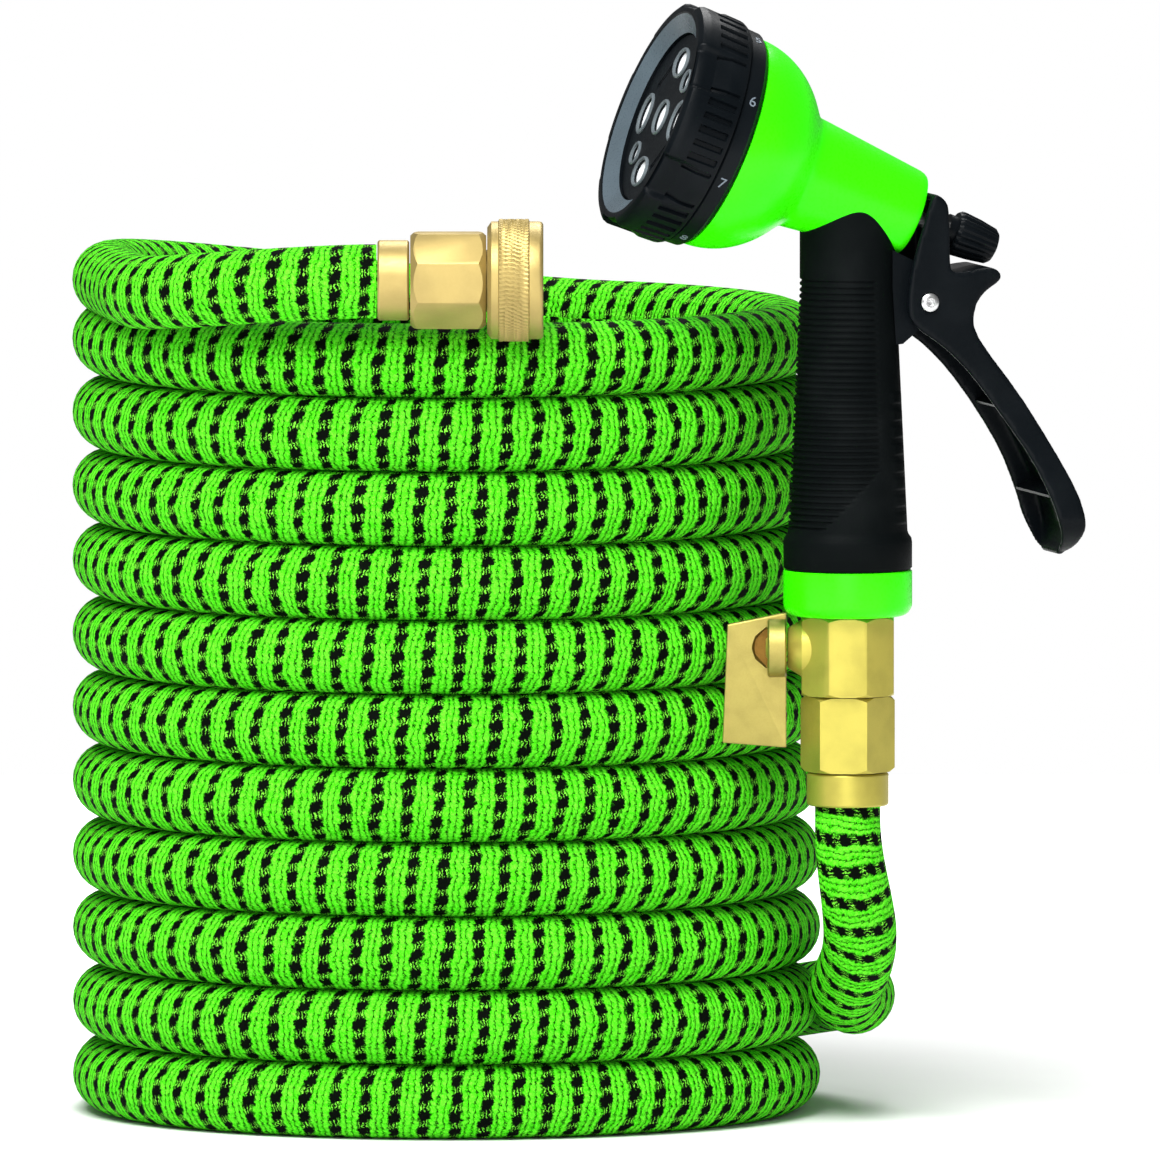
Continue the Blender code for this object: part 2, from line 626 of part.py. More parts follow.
def make_nozzle(valve_top):
    """Connector, barrel with its core, rubber grip, collar and dial."""
    turn = Matrix.Rotation(NOZZLE_YAW, 4, "Z")
    column = Matrix.Translation((COLUMN_X, COLUMN_Y, 0.0)) @ turn
    barrel = barrel_place()
    low = valve_top + CLEARANCE
    high = low + CONNECTOR_HEIGHT - CLEARANCE
    round_off = 2.6 * MM
    turned("nozzle_connector", [
        (CORE_RADIUS - 2.0 * MM, high), (CONNECTOR_RADIUS, high),
        (CONNECTOR_RADIUS, low + round_off), (CONNECTOR_RADIUS - 0.8 * MM, low + 0.8 * MM),
        (CONNECTOR_RADIUS - round_off, low), (THREAD_RADIUS + RUNNING_FIT, low),
        (THREAD_RADIUS + RUNNING_FIT, valve_top + THREAD_LENGTH + CLEARANCE),
        (CORE_RADIUS - 2.0 * MM, valve_top + THREAD_LENGTH + CLEARANCE)],
        column, LIME_PLASTIC, 0.0, 0.25, steps=36, closed=True)

    body = turned("nozzle_body", barrel_profile(), barrel, LIME_PLASTIC, 0.0, 0.22, steps=40)
    core_bottom = high + CLEARANCE
    cut(body, bar("handle_core", CORE_RADIUS, core_bottom, BARREL_AXIS_HEIGHT, column), "UNION")
    rod_bore = PUSH_ROD_RADIUS + RUNNING_FIT
    cut(body, bar("rod_bore", rod_bore, BARREL_END - ROD_IN_BARREL - MM, BARREL_END + 2.0 * MM, barrel))

    grip = turned("handle_grip", grip_profile(core_bottom), column, BLACK, 0.0, 0.65, steps=36)
    cut(grip, turned_solid("barrel_room", barrel_profile(CLEARANCE), barrel, 48))
    core_room = CORE_RADIUS + RUNNING_FIT
    cut(grip, bar("core_room", core_room, core_bottom - MM, BARREL_AXIS_HEIGHT, column))

    back = DIAL_FRONT + DIAL_DEPTH + COLLAR_LENGTH
    front = DIAL_FRONT + DIAL_DEPTH + CLEARANCE
    edge = 0.6 * MM
    turned("dial_collar", [
        (0.0, back), (BULB_RADIUS, back), (COLLAR_RADIUS, back - 1.2 * MM),
        (COLLAR_RADIUS, front + edge), (COLLAR_RADIUS - edge, front), (0.0, front)],
        barrel, BLACK, 0.0, 0.4, steps=48)

    back = DIAL_FRONT + DIAL_DEPTH
    ring = turned("dial_ring", [
        (DIAL_BORE_RADIUS, back), (DIAL_BACK_RADIUS - edge, back), (DIAL_BACK_RADIUS, back - edge),
        (DIAL_RADIUS, DIAL_FRONT + 2.0 * MM), (DIAL_RADIUS - 1.6 * MM, DIAL_FRONT),
        (DIAL_BEVEL_RADIUS, DIAL_FRONT), (DIAL_BORE_RADIUS, DIAL_FRONT + DIAL_BEVEL_DEPTH)],
        barrel, BLACK, 0.0, 0.4, steps=48, closed=True)
    scoop_radius = 14.0 * MM
    scoop_depth = 1.3 * MM
    for lobe in range(DIAL_LOBES):
        angle = 2.0 * math.pi * (lobe + 0.5) / DIAL_LOBES
        aside = Matrix.Rotation(angle, 4, "Z") @ Matrix.Translation(
            (DIAL_RADIUS + scoop_radius - scoop_depth, 0.0, 0.0))
        cut(ring, bar(
            "dial_scoop_%d" % (lobe + 1), scoop_radius, DIAL_FRONT - MM, DIAL_FRONT + 9.0 * MM,
            barrel @ aside))

    front = DIAL_FRONT + FACE_DEPTH
    back = front + FACE_THICKNESS
    rim = DIAL_BORE_RADIUS - RUNNING_FIT
    face = turned("spray_face", [
        (0.0, back), (rim, back), (rim, front), (0.0, front)], barrel, SLATE, 0.0, 0.4, steps=48)
    make_spray_holes(face, barrel, front, back)
    return core_bottom


def make_spray_holes(face, barrel, front, back):
    """The eight spray patterns round the middle hole."""
    ring = 16.5 * MM
    cut(face, bar("hole_middle", 4.4 * MM, front - MM, back + MM, barrel))
    patterns = 8
    for number in range(patterns):
        spot = barrel @ Matrix.Rotation(2.0 * math.pi * number / patterns, 4, "Z")
        spot = spot @ Matrix.Translation((ring, 0.0, 0.0))
        name = "hole_%d" % (number + 1)
        if number % 2 == 0:
            hole = bar(name, 3.6 * MM, front - MM, back + MM, spot, 24)
            hole.matrix_world = spot @ Matrix.Diagonal((1.0, 1.35, 1.0, 1.0))
        elif number % 4 == 1:
            hole = bar(name, 2.6 * MM, front - MM, back + MM, spot, 24)
        else:
            hole = solid(name, prism_mesh(name, 4, 1.0, 0.0, 1.0), spot)
            hole.matrix_world = spot @ Matrix.Translation((0.0, 0.0, front - MM)) @ Matrix.Diagonal(
                (1.2 * MM, 7.0 * MM, back - front + 2.0 * MM, 1.0))
        cut(face, hole)


def trigger_edges():
    """The trigger's side view from its pin: the back edge downwards, then the open edge up."""
    back = [(1.8, 30.9), (4.6, 29.0), (5.9, 25.2), (6.2, 11.2), (8.4, 8.4), (18.4, 9.6),
            (21.2, 6.4), (16.0, 2.2), (13.4, -3.0), (14.8, -10.6), (28.4, -29.3),
            (40.8, -51.5), (44.4, -62.5), (44.2, -67.0), (42.8, -70.6), (40.8, -73.0)]
    mouth = [(39.2, -72.9), (38.5, -70.2), (37.8, -66.9), (36.3, -62.0), (33.8, -54.8),
             (27.6, -42.2), (14.6, -23.6), (5.2, -13.6), (-4.4, -6.4), (-6.2, 0.0), (-4.8, 10.5),
             (-2.6, 18.5), (0.4, 28.4)]
    size = PADDLE_DROP / 73.2
    return (flowing([Vector(spot) * size for spot in back], 3),
            flowing([Vector(spot) * size for spot in mouth], 3))


def paddle_half_width(height):
    """Half the trigger's width at a height from its pin: it flares downwards to a round end."""
    share = min(max((-height - 0.34 * PADDLE_DROP) / (0.54 * PADDLE_DROP), 0.0), 1.0)
    ease = share * share * (3.0 - 2.0 * share)
    half = 0.5 * (TRIGGER_WIDTH + (PADDLE_WIDTH - TRIGGER_WIDTH) * ease)
    below = min(max((-height - PADDLE_DROP) / PADDLE_ROUND + 1.0, 0.0), 0.92)
    return half * math.sqrt(1.0 - below * below)


def flare(data, wall=0.0):
    """Set a trigger plate's two sides to the flared width, less a wall."""
    for corner in data.vertices:
        corner.co.y = math.copysign(paddle_half_width(corner.co.z) - wall, corner.co.y)
    return data


def make_trigger(grip_bottom):
    """Trigger, its pin and bracket, the push rod and the flow knob."""
    turn = Matrix.Rotation(NOZZLE_YAW, 4, "Z")
    column = Matrix.Translation((COLUMN_X, COLUMN_Y, 0.0)) @ turn
    pin = column @ Matrix.Translation((PIN_X, 0.0, PIN_Z))
    across = pin @ Matrix.Rotation(-0.5 * math.pi, 4, "X")
    barrel = barrel_place()

    back, mouth = trigger_edges()
    outline = [tuple(spot) for spot in back + mouth]
    trigger = piece(
        "trigger", flare(plate_mesh("trigger", outline, TRIGGER_WIDTH)), pin, BLACK, 0.0, 0.4)
    rounding = trigger.modifiers.new("rounded", "BEVEL")
    rounding.width = 1.6 * MM
    rounding.segments = 2
    rounding.limit_method = "ANGLE"
    rounding.angle_limit = math.radians(60.0)
    opened = [spot + Vector((-5.0 * MM, -1.5 * MM)) for spot in mouth]
    pocket = [tuple(spot) for spot in inset(back, TRIGGER_WALL) + opened]
    cut(trigger, solid(
        "trigger_pocket",
        flare(plate_mesh("trigger_pocket", pocket, TRIGGER_WIDTH), TRIGGER_WALL), pin))
    eye = PIN_RADIUS + RUNNING_FIT
    cut(trigger, bar("trigger_eye", eye, -TRIGGER_WIDTH, TRIGGER_WIDTH, across))
    slot = bar("rod_slot", 3.2 * MM, BARREL_END + 5.0 * MM, KNOB_FRONT + 3.0 * MM, barrel)
    slot.matrix_world = barrel @ Matrix.Diagonal((1.45, 1.0, 1.0, 1.0))
    cut(trigger, slot)

    half = 0.5 * TRIGGER_WIDTH + CLEARANCE
    head = half + PIN_HEAD_THICKNESS
    dome = 0.3 * MM
    turned("trigger_pin", [
        (0.0, head + dome), (0.6 * PIN_HEAD_RADIUS, head), (PIN_HEAD_RADIUS, half + dome),
        (PIN_HEAD_RADIUS, half), (PIN_RADIUS, half), (PIN_RADIUS, -half), (PIN_HEAD_RADIUS, -half),
        (PIN_HEAD_RADIUS, -half - dome), (0.6 * PIN_HEAD_RADIUS, -head), (0.0, -head - dome)],
        across, STEEL, 1.0, 0.25, steps=28)

    ear = 5.0 * MM
    bracket = piece("trigger_bracket", plate_mesh("trigger_bracket", [
        (0.0, -13.5 * MM), (PIN_X - 6.5 * MM, -12.0 * MM), (PIN_X + 0.5 * ear, -0.9 * ear),
        (PIN_X + ear, 0.0), (PIN_X + 0.6 * ear, 0.8 * ear), (PIN_X - 3.0 * MM, 11.5 * MM),
        (0.0, 20.0 * MM)], BRACKET_WIDTH),
        column @ Matrix.Translation((0.0, 0.0, PIN_Z)), BLACK, 0.0, 0.4)
    cut(bracket, turned_solid("grip_room", grip_profile(grip_bottom, CLEARANCE), column, 48))
    cut(bracket, turned_solid("barrel_room_bracket", barrel_profile(CLEARANCE), barrel, 48))
    cut(bracket, bar("bracket_eye", eye, -TRIGGER_WIDTH, TRIGGER_WIDTH, across))

    rod_back = KNOB_FRONT + ROD_IN_KNOB
    turned("push_rod", [
        (0.0, rod_back), (PUSH_ROD_RADIUS, rod_back), (PUSH_ROD_RADIUS, BARREL_END - ROD_IN_BARREL),
        (0.0, BARREL_END - ROD_IN_BARREL)], barrel, STEEL, 1.0, 0.3, steps=24)
    end = KNOB_FRONT + KNOB_LENGTH
    hole = PUSH_ROD_RADIUS + RUNNING_FIT
    collar = KNOB_FRONT - KNOB_COLLAR_LENGTH
    blind = rod_back + CLEARANCE
    turned("flow_knob", [
        (0.0, end), (0.62 * KNOB_BACK_RADIUS, end), (KNOB_BACK_RADIUS, end - 1.6 * MM),
        (KNOB_RADIUS, KNOB_FRONT + 1.2 * MM), (KNOB_RADIUS - 0.8 * MM, KNOB_FRONT),
        (KNOB_COLLAR_RADIUS, KNOB_FRONT), (KNOB_COLLAR_RADIUS, collar), (hole, collar),
        (hole, blind), (0.0, blind)], barrel, BLACK, 0.0, 0.45, steps=40)


def finish():
    """Smooth the shapes and set the whole object over the origin with its foot at Z = 0."""
    bpy.context.view_layer.update()
    graph = bpy.context.evaluated_depsgraph_get()
    nodes = [thing for thing in bpy.context.scene.objects if not thing.hide_render]
    low = Vector((math.inf, math.inf, math.inf))
    high = -low
    for thing in nodes:
        seen = thing.evaluated_get(graph)
        for corner in seen.to_mesh().vertices:
            spot = thing.matrix_world @ corner.co
            low = Vector(map(min, low, spot))
            high = Vector(map(max, high, spot))
    shift = Matrix.Translation((-0.5 * (low.x + high.x), -0.5 * (low.y + high.y), -low.z))
    for thing in bpy.context.scene.objects:
        thing.matrix_world = shift @ thing.matrix_world
        if thing.type == "MESH":
            shade(thing)


clear_scene()
make_coil()
make_hose_ends()
make_tap_coupling()
top_of_valve, stem_place = make_valve()
make_lever(stem_place)
bottom_of_grip = make_nozzle(top_of_valve)
make_trigger(bottom_of_grip)
finish()
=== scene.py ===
"""Looks of the coiled garden hose: woven sleeve, brass fittings and trigger spray nozzle."""

import json
import math

import bpy
from mathutils import Matrix, Vector


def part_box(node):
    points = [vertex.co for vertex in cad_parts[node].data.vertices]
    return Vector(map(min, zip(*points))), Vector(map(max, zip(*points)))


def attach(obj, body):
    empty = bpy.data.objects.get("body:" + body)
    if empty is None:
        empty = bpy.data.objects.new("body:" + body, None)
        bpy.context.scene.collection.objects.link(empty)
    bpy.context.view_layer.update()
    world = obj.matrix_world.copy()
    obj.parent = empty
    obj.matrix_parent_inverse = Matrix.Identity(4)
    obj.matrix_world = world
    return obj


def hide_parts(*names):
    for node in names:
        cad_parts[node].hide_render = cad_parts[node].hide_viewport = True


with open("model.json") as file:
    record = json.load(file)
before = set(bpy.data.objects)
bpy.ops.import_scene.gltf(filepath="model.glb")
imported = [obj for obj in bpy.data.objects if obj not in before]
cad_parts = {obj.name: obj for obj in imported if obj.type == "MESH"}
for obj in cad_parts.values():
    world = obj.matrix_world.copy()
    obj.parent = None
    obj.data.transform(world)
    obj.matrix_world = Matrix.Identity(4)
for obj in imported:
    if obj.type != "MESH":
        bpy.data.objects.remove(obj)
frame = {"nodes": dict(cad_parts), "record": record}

bl_info = {
    "name": "Garden hose looks",
    "version": (1, 0, 0),
    "blender": (4, 5, 0),
    "location": "3D View > Sidebar > Garden hose",
    "description": "Dresses the coiled hose, its brass fittings and its spray nozzle",
    "category": "Object",
}

MM = 0.001
TURN = 2.0 * math.pi
ROUND_ANGLE = math.radians(32.0)


def length(name, description, default):
    """A length setting in metres."""
    return bpy.props.FloatProperty(
        name=name, description=description, default=default, min=0.0, unit="LENGTH", precision=4)


def angle(name, description, degrees):
    """An angle setting."""
    return bpy.props.FloatProperty(
        name=name, description=description, default=math.radians(degrees), unit="ROTATION")


def colour(name, description, default):
    """A colour setting."""
    return bpy.props.FloatVectorProperty(
        name=name, description=description, default=default, size=4, min=0.0, max=1.0,
        subtype="COLOR")


class HoseSettings(bpy.types.PropertyGroup):
    """The sleeve's sizes and colours."""

    diameter: length("Diameter", "Outside diameter of the resting hose", 21.0 * MM)
    shrunk: length("Diameter at the ferrule", "Outside diameter where the ferrule holds it", 18.6 * MM)
    pitch: length("Turn pitch", "Height from one turn to the next", 21.1 * MM)
    turns: bpy.props.IntProperty(
        name="Full turns", description="Full turns in the coil", default=11, min=1)
    radius: length("Coil radius", "Radius of the hose's middle line", 96.5 * MM)
    foot: angle("Foot angle", "Half width of the pressed foot", 12.0)
    climb_from: angle("Climb from", "Where each turn starts to climb", 60.0)
    climb_over: angle("Climb over", "Angle in which a turn climbs", 125.0)
    leaves: angle("Leaves at", "Where the top turn leaves the circle", 190.0)
    straight: length("Straight", "Straight run after the circle", 40.0 * MM)
    bend: length("Bend radius", "Bend before the tap coupling", 65.6 * MM)
    yaw: angle("Tap yaw", "Heading of the tap coupling", 0.0)
    sag: length("Sag", "How far the soft top turn settles into the one below", 4.2 * MM)
    lift: length("Lift", "Rise of the hose in its last bend", 2.4 * MM)
    end_straight: length("End straight", "Straight hose at each ferrule", 4.0 * MM)
    ride_gap: length("Ride gap", "Space between the riser and the coil", 0.42 * MM)
    riser_low: length("Riser height", "Height at which the riser turns level", 33.0 * MM)
    green: colour("Green yarn", "Colour of the ridges", (0.058, 0.78, 0.004, 1.0))
    # Light yarn: the pale threads in the checks' columns and lighter random patches; on the ridge tops it
    # is painted highlight on the stitches.
    light: colour("Light yarn", "Colour of worn ridge tops", (0.24, 0.98, 0.055, 1.0))
    dark: colour("Dark yarn", "Colour between the ridges", (0.002, 0.055, 0.0005, 1.0))
    black: colour("Black yarn", "Colour of the checks", (0.0008, 0.002, 0.0008, 1.0))
    columns: bpy.props.IntProperty(
        name="Columns", description="Rings of checks in one turn of the coil", default=76, min=8)
    slant: bpy.props.FloatProperty(
        name="Slant", description="Columns that the weave shifts in once round", default=0.6)
    checks: bpy.props.IntProperty(
        name="Checks", description="Black checks round the hose", default=12, min=3)


class FittingSettings(bpy.types.PropertyGroup):
    """Colours and sizes of the fittings and the nozzle."""

    brass: colour("Brass", "Brass of the tap coupling", (0.42, 0.315, 0.105, 1.0))
    valve_brass: colour("Valve brass", "Yellower brass of the valve", (0.49, 0.42, 0.075, 1.0))
    lever_brass: colour("Lever brass", "Tan brass of the lever", (0.40, 0.33, 0.095, 1.0))
    green: colour("Green plastic", "Nozzle body", (0.034, 0.93, 0.0003, 1.0))
    rubber: colour("Rubber", "Grip sleeve", (0.0022, 0.0032, 0.0034, 1.0))
    black: colour("Black plastic", "Dial, trigger and knob", (0.0022, 0.0034, 0.0045, 1.0))
    # The lighter grey of the dial's front bevel is painted highlight, standing in for the thin highlight
    # along the bevel.
    slate: colour("Slate plastic", "Dial bevel", (0.060, 0.082, 0.098, 1.0))
    marking: colour("Marking", "Numbers on the collar", (0.13, 0.16, 0.19, 1.0))
    # The pale insert behind the spray face's holes is painted highlight, standing in for the bright
    # glints in the holes.
    pale: colour("Pale plastic", "Insert behind the spray face", (0.80, 0.83, 0.85, 1.0))
    steel: colour("Steel", "Pin and push rod", (0.72, 0.72, 0.72, 1.0))
    dial_front: length("Dial front", "Dial's front from the handle's axis", 63.1 * MM)
    dial_depth: length("Dial depth", "Depth of the dial ring", 16.3 * MM)
    dial_radius: length("Dial radius", "Outside radius of the dial ring", 34.2 * MM)
    lobes: bpy.props.IntProperty(
        name="Lobes", description="Ribbed lobes round the dial", default=6, min=1)
    collar_depth: length("Collar depth", "Depth of the numbered collar", 6.4 * MM)
    barrel_end: length("Barrel end", "Barrel's end from the handle's axis", 19.7 * MM)
    flare: length("Flare height", "Height of the grip's flared foot", 10.8 * MM)
    rib_pitch: length("Rib pitch", "Distance between the grip's ribs", 1.8 * MM)
    knob_front: length("Knob front", "Flow knob's front from the handle's axis", 33.2 * MM)
    knob_depth: length("Knob depth", "Depth of the flow knob", 13.2 * MM)


# Shapes


def collect(thing, group="Garden hose"):
    """Put a new object in the collection of the looks."""
    home = bpy.data.collections.get(group)
    if home is None:
        home = bpy.data.collections.new(group)
        bpy.context.scene.collection.children.link(home)
    home.objects.link(thing)


def add_piece(name, corners, faces, material, body, smooth=ROUND_ANGLE):
    """A mesh piece that rides on a CAD body."""
    data = bpy.data.meshes.new(name)
    data.from_pydata(corners, [], faces)
    data.validate()
    data.update()
    data.shade_smooth()
    data.set_sharp_from_angle(angle=smooth)
    data.materials.append(material)
    thing = bpy.data.objects.new(name, data)
    collect(thing)
    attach(thing, body)
    return thing


def lathe(name, profile, place, steps, material, body, relief=None, closed=False, smooth=ROUND_ANGLE):
    """A turned piece. The profile runs down its outer side; relief moves a surface in or out."""
    corners = []
    rows = []
    for radius, height in profile:
        if radius < 1e-7:
            rows.append([len(corners)] * steps)
            corners.append(place @ Vector((0.0, 0.0, height)))
            continue
        rows.append(list(range(len(corners), len(corners) + steps)))
        for step in range(steps):
            turn = TURN * step / steps
            reach = radius + (relief(turn, radius, height) if relief else 0.0)
            corners.append(place @ Vector((reach * math.cos(turn), reach * math.sin(turn), height)))
    pairs = list(zip(rows, rows[1:]))
    if closed:
        pairs.append((rows[-1], rows[0]))
    faces = []
    for upper, lower in pairs:
        for step in range(steps):
            after = (step + 1) % steps
            ring = [upper[step], lower[step], lower[after], upper[after]]
            face = [corner for i, corner in enumerate(ring) if corner != ring[i - 1]]
            if len(face) > 2:
                faces.append(face)
    return add_piece(name, corners, faces, material, body, smooth)


def box_piece(name, place, size, material, body):
    """A plain block, centred on its place."""
    corners = [
        place @ Vector((x * size[0] / 2, y * size[1] / 2, z * size[2] / 2))
        for x in (-1, 1) for y in (-1, 1) for z in (-1, 1)]
    faces = [(0, 1, 3, 2), (4, 6, 7, 5), (0, 4, 5, 1), (2, 3, 7, 6), (0, 2, 6, 4), (1, 5, 7, 3)]
    return add_piece(name, corners, faces, material, body)


def joint(name):
    """A joint's place and axis as a frame whose Z is the axis and whose Y stays level."""
    found = next(j for j in frame["record"]["behaviour"]["joints"] if j["name"] == name)
    axis = Vector(found["axis"]).normalized()
    level = Vector((0.0, 0.0, 1.0)).cross(axis).normalized()
    across = level.cross(axis)
    turned = Matrix((across, level, axis)).transposed().to_4x4()
    return Matrix.Translation(found["pos_m"]) @ turned


def middle(node):
    """The middle of a CAD node's box."""
    low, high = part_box(node)
    return (low + high) / 2


def ease(share):
    """A soft start and stop between 0 and 1."""
    share = min(max(share, 0.0), 1.0)
    return share * share * (3.0 - 2.0 * share)


def dress(node, material, edge=0.3 * MM):
    """Give a CAD node its finish and softly broken edges."""
    thing = frame["nodes"][node]
    thing.data.materials.clear()
    thing.data.materials.append(material)
    normals = thing.data.attributes.get("custom_normal")
    if normals:
        thing.data.attributes.remove(normals)
    thing.data.shade_smooth()
    joined = thing.modifiers.new("joined", "WELD")
    joined.merge_threshold = 0.002 * MM
    broken = thing.modifiers.new("broken edges", "BEVEL")
    broken.width = edge
    broken.segments = 2
    broken.limit_method = "ANGLE"
    broken.angle_limit = math.radians(28.0)
    broken.harden_normals = True


# Materials


def new_material(name):
    """An empty material with its principled shader."""
    made = bpy.data.materials.new(name)
    made.use_nodes = True
    return made, made.node_tree, made.node_tree.nodes["Principled BSDF"]


def feed(tree, socket, term):
    """Link or set one input."""
    if isinstance(term, bpy.types.NodeSocket):
        tree.links.new(term, socket)
    else:
        socket.default_value = term


def calc(tree, operation, *terms):
    """One step of arithmetic."""
    node = tree.nodes.new("ShaderNodeMath")
    node.operation = operation
    for socket, term in zip(node.inputs, terms):
        feed(tree, socket, term)
    return node.outputs[0]


def mixed(tree, share, low, high):
    """A colour between two others."""
    node = tree.nodes.new("ShaderNodeMix")
    node.data_type = "RGBA"
    node.clamp_factor = True
    feed(tree, node.inputs[0], share)
    feed(tree, node.inputs[6], low)
    feed(tree, node.inputs[7], high)
    return node.outputs[2]


def ramp(tree, term, low, high, first=0.0, last=1.0, soft=True):
    """A term moved from one range to another, held at both ends."""
    node = tree.nodes.new("ShaderNodeMapRange")
    node.interpolation_type = "SMOOTHSTEP" if soft else "LINEAR"
    for socket, value in zip(node.inputs, (term, low, high, first, last)):
        feed(tree, socket, value)
    return node.outputs[0]


def object_place(tree, stretch=(1.0, 1.0, 1.0)):
    """The surface's place in metres, stretched along the axes."""
    source = tree.nodes.new("ShaderNodeTexCoord")
    node = tree.nodes.new("ShaderNodeMapping")
    node.inputs["Scale"].default_value = stretch
    tree.links.new(source.outputs["Object"], node.inputs["Vector"])
    return node.outputs[0]


def noise(tree, place, scale, detail=2.0, roughness=0.5):
    """Soft random values."""
    node = tree.nodes.new("ShaderNodeTexNoise")
    tree.links.new(place, node.inputs["Vector"])
    node.inputs["Scale"].default_value = scale
    node.inputs["Detail"].default_value = detail
    node.inputs["Roughness"].default_value = roughness
    return node.outputs[0]


def relief_from(tree, shader, height, depth, strength=1.0):
    """Bump from a height value."""
    node = tree.nodes.new("ShaderNodeBump")
    node.inputs["Strength"].default_value = strength
    node.inputs["Distance"].default_value = depth
    feed(tree, node.inputs["Height"], height)
    tree.links.new(node.outputs[0], shader.inputs["Normal"])


def metal(name, tint, low, high, grain, depth, gleam=1.0):
    """Satin metal with a fine uneven grain; less gleam is a duller, oxidised skin."""
    made, tree, shader = new_material(name)
    place = object_place(tree)
    fine = noise(tree, place, grain, 3.0, 0.6)
    broad = noise(tree, place, grain * 0.06, 2.0)
    shader.inputs["Metallic"].default_value = gleam
    tarnish = ramp(tree, broad, 0.35, 0.75)
    deep = [0.86 * part for part in tint[:3]] + [1.0]
    feed(tree, shader.inputs["Base Color"], mixed(tree, tarnish, tint, deep))
    feed(tree, shader.inputs["Roughness"], ramp(tree, fine, 0.3, 0.7, low, high))
    relief_from(tree, shader, fine, depth)
    return made


def plastic(name, tint, low, high, grain, depth, edge=None, shine=0.4):
    """Moulded plastic or rubber with a fine skin."""
    made, tree, shader = new_material(name)
    place = object_place(tree)
    fine = noise(tree, place, grain, 3.0, 0.6)
    broad = noise(tree, place, 55.0, 2.0)
    worn = edge or [min(1.0, 1.25 * part + 0.002) for part in tint[:3]] + [1.0]
    feed(tree, shader.inputs["Base Color"], mixed(tree, ramp(tree, broad, 0.4, 0.8), tint, worn))
    feed(tree, shader.inputs["Roughness"], ramp(tree, fine, 0.3, 0.7, low, high))
    shader.inputs["Specular IOR Level"].default_value = shine
    relief_from(tree, shader, fine, depth)
    return made


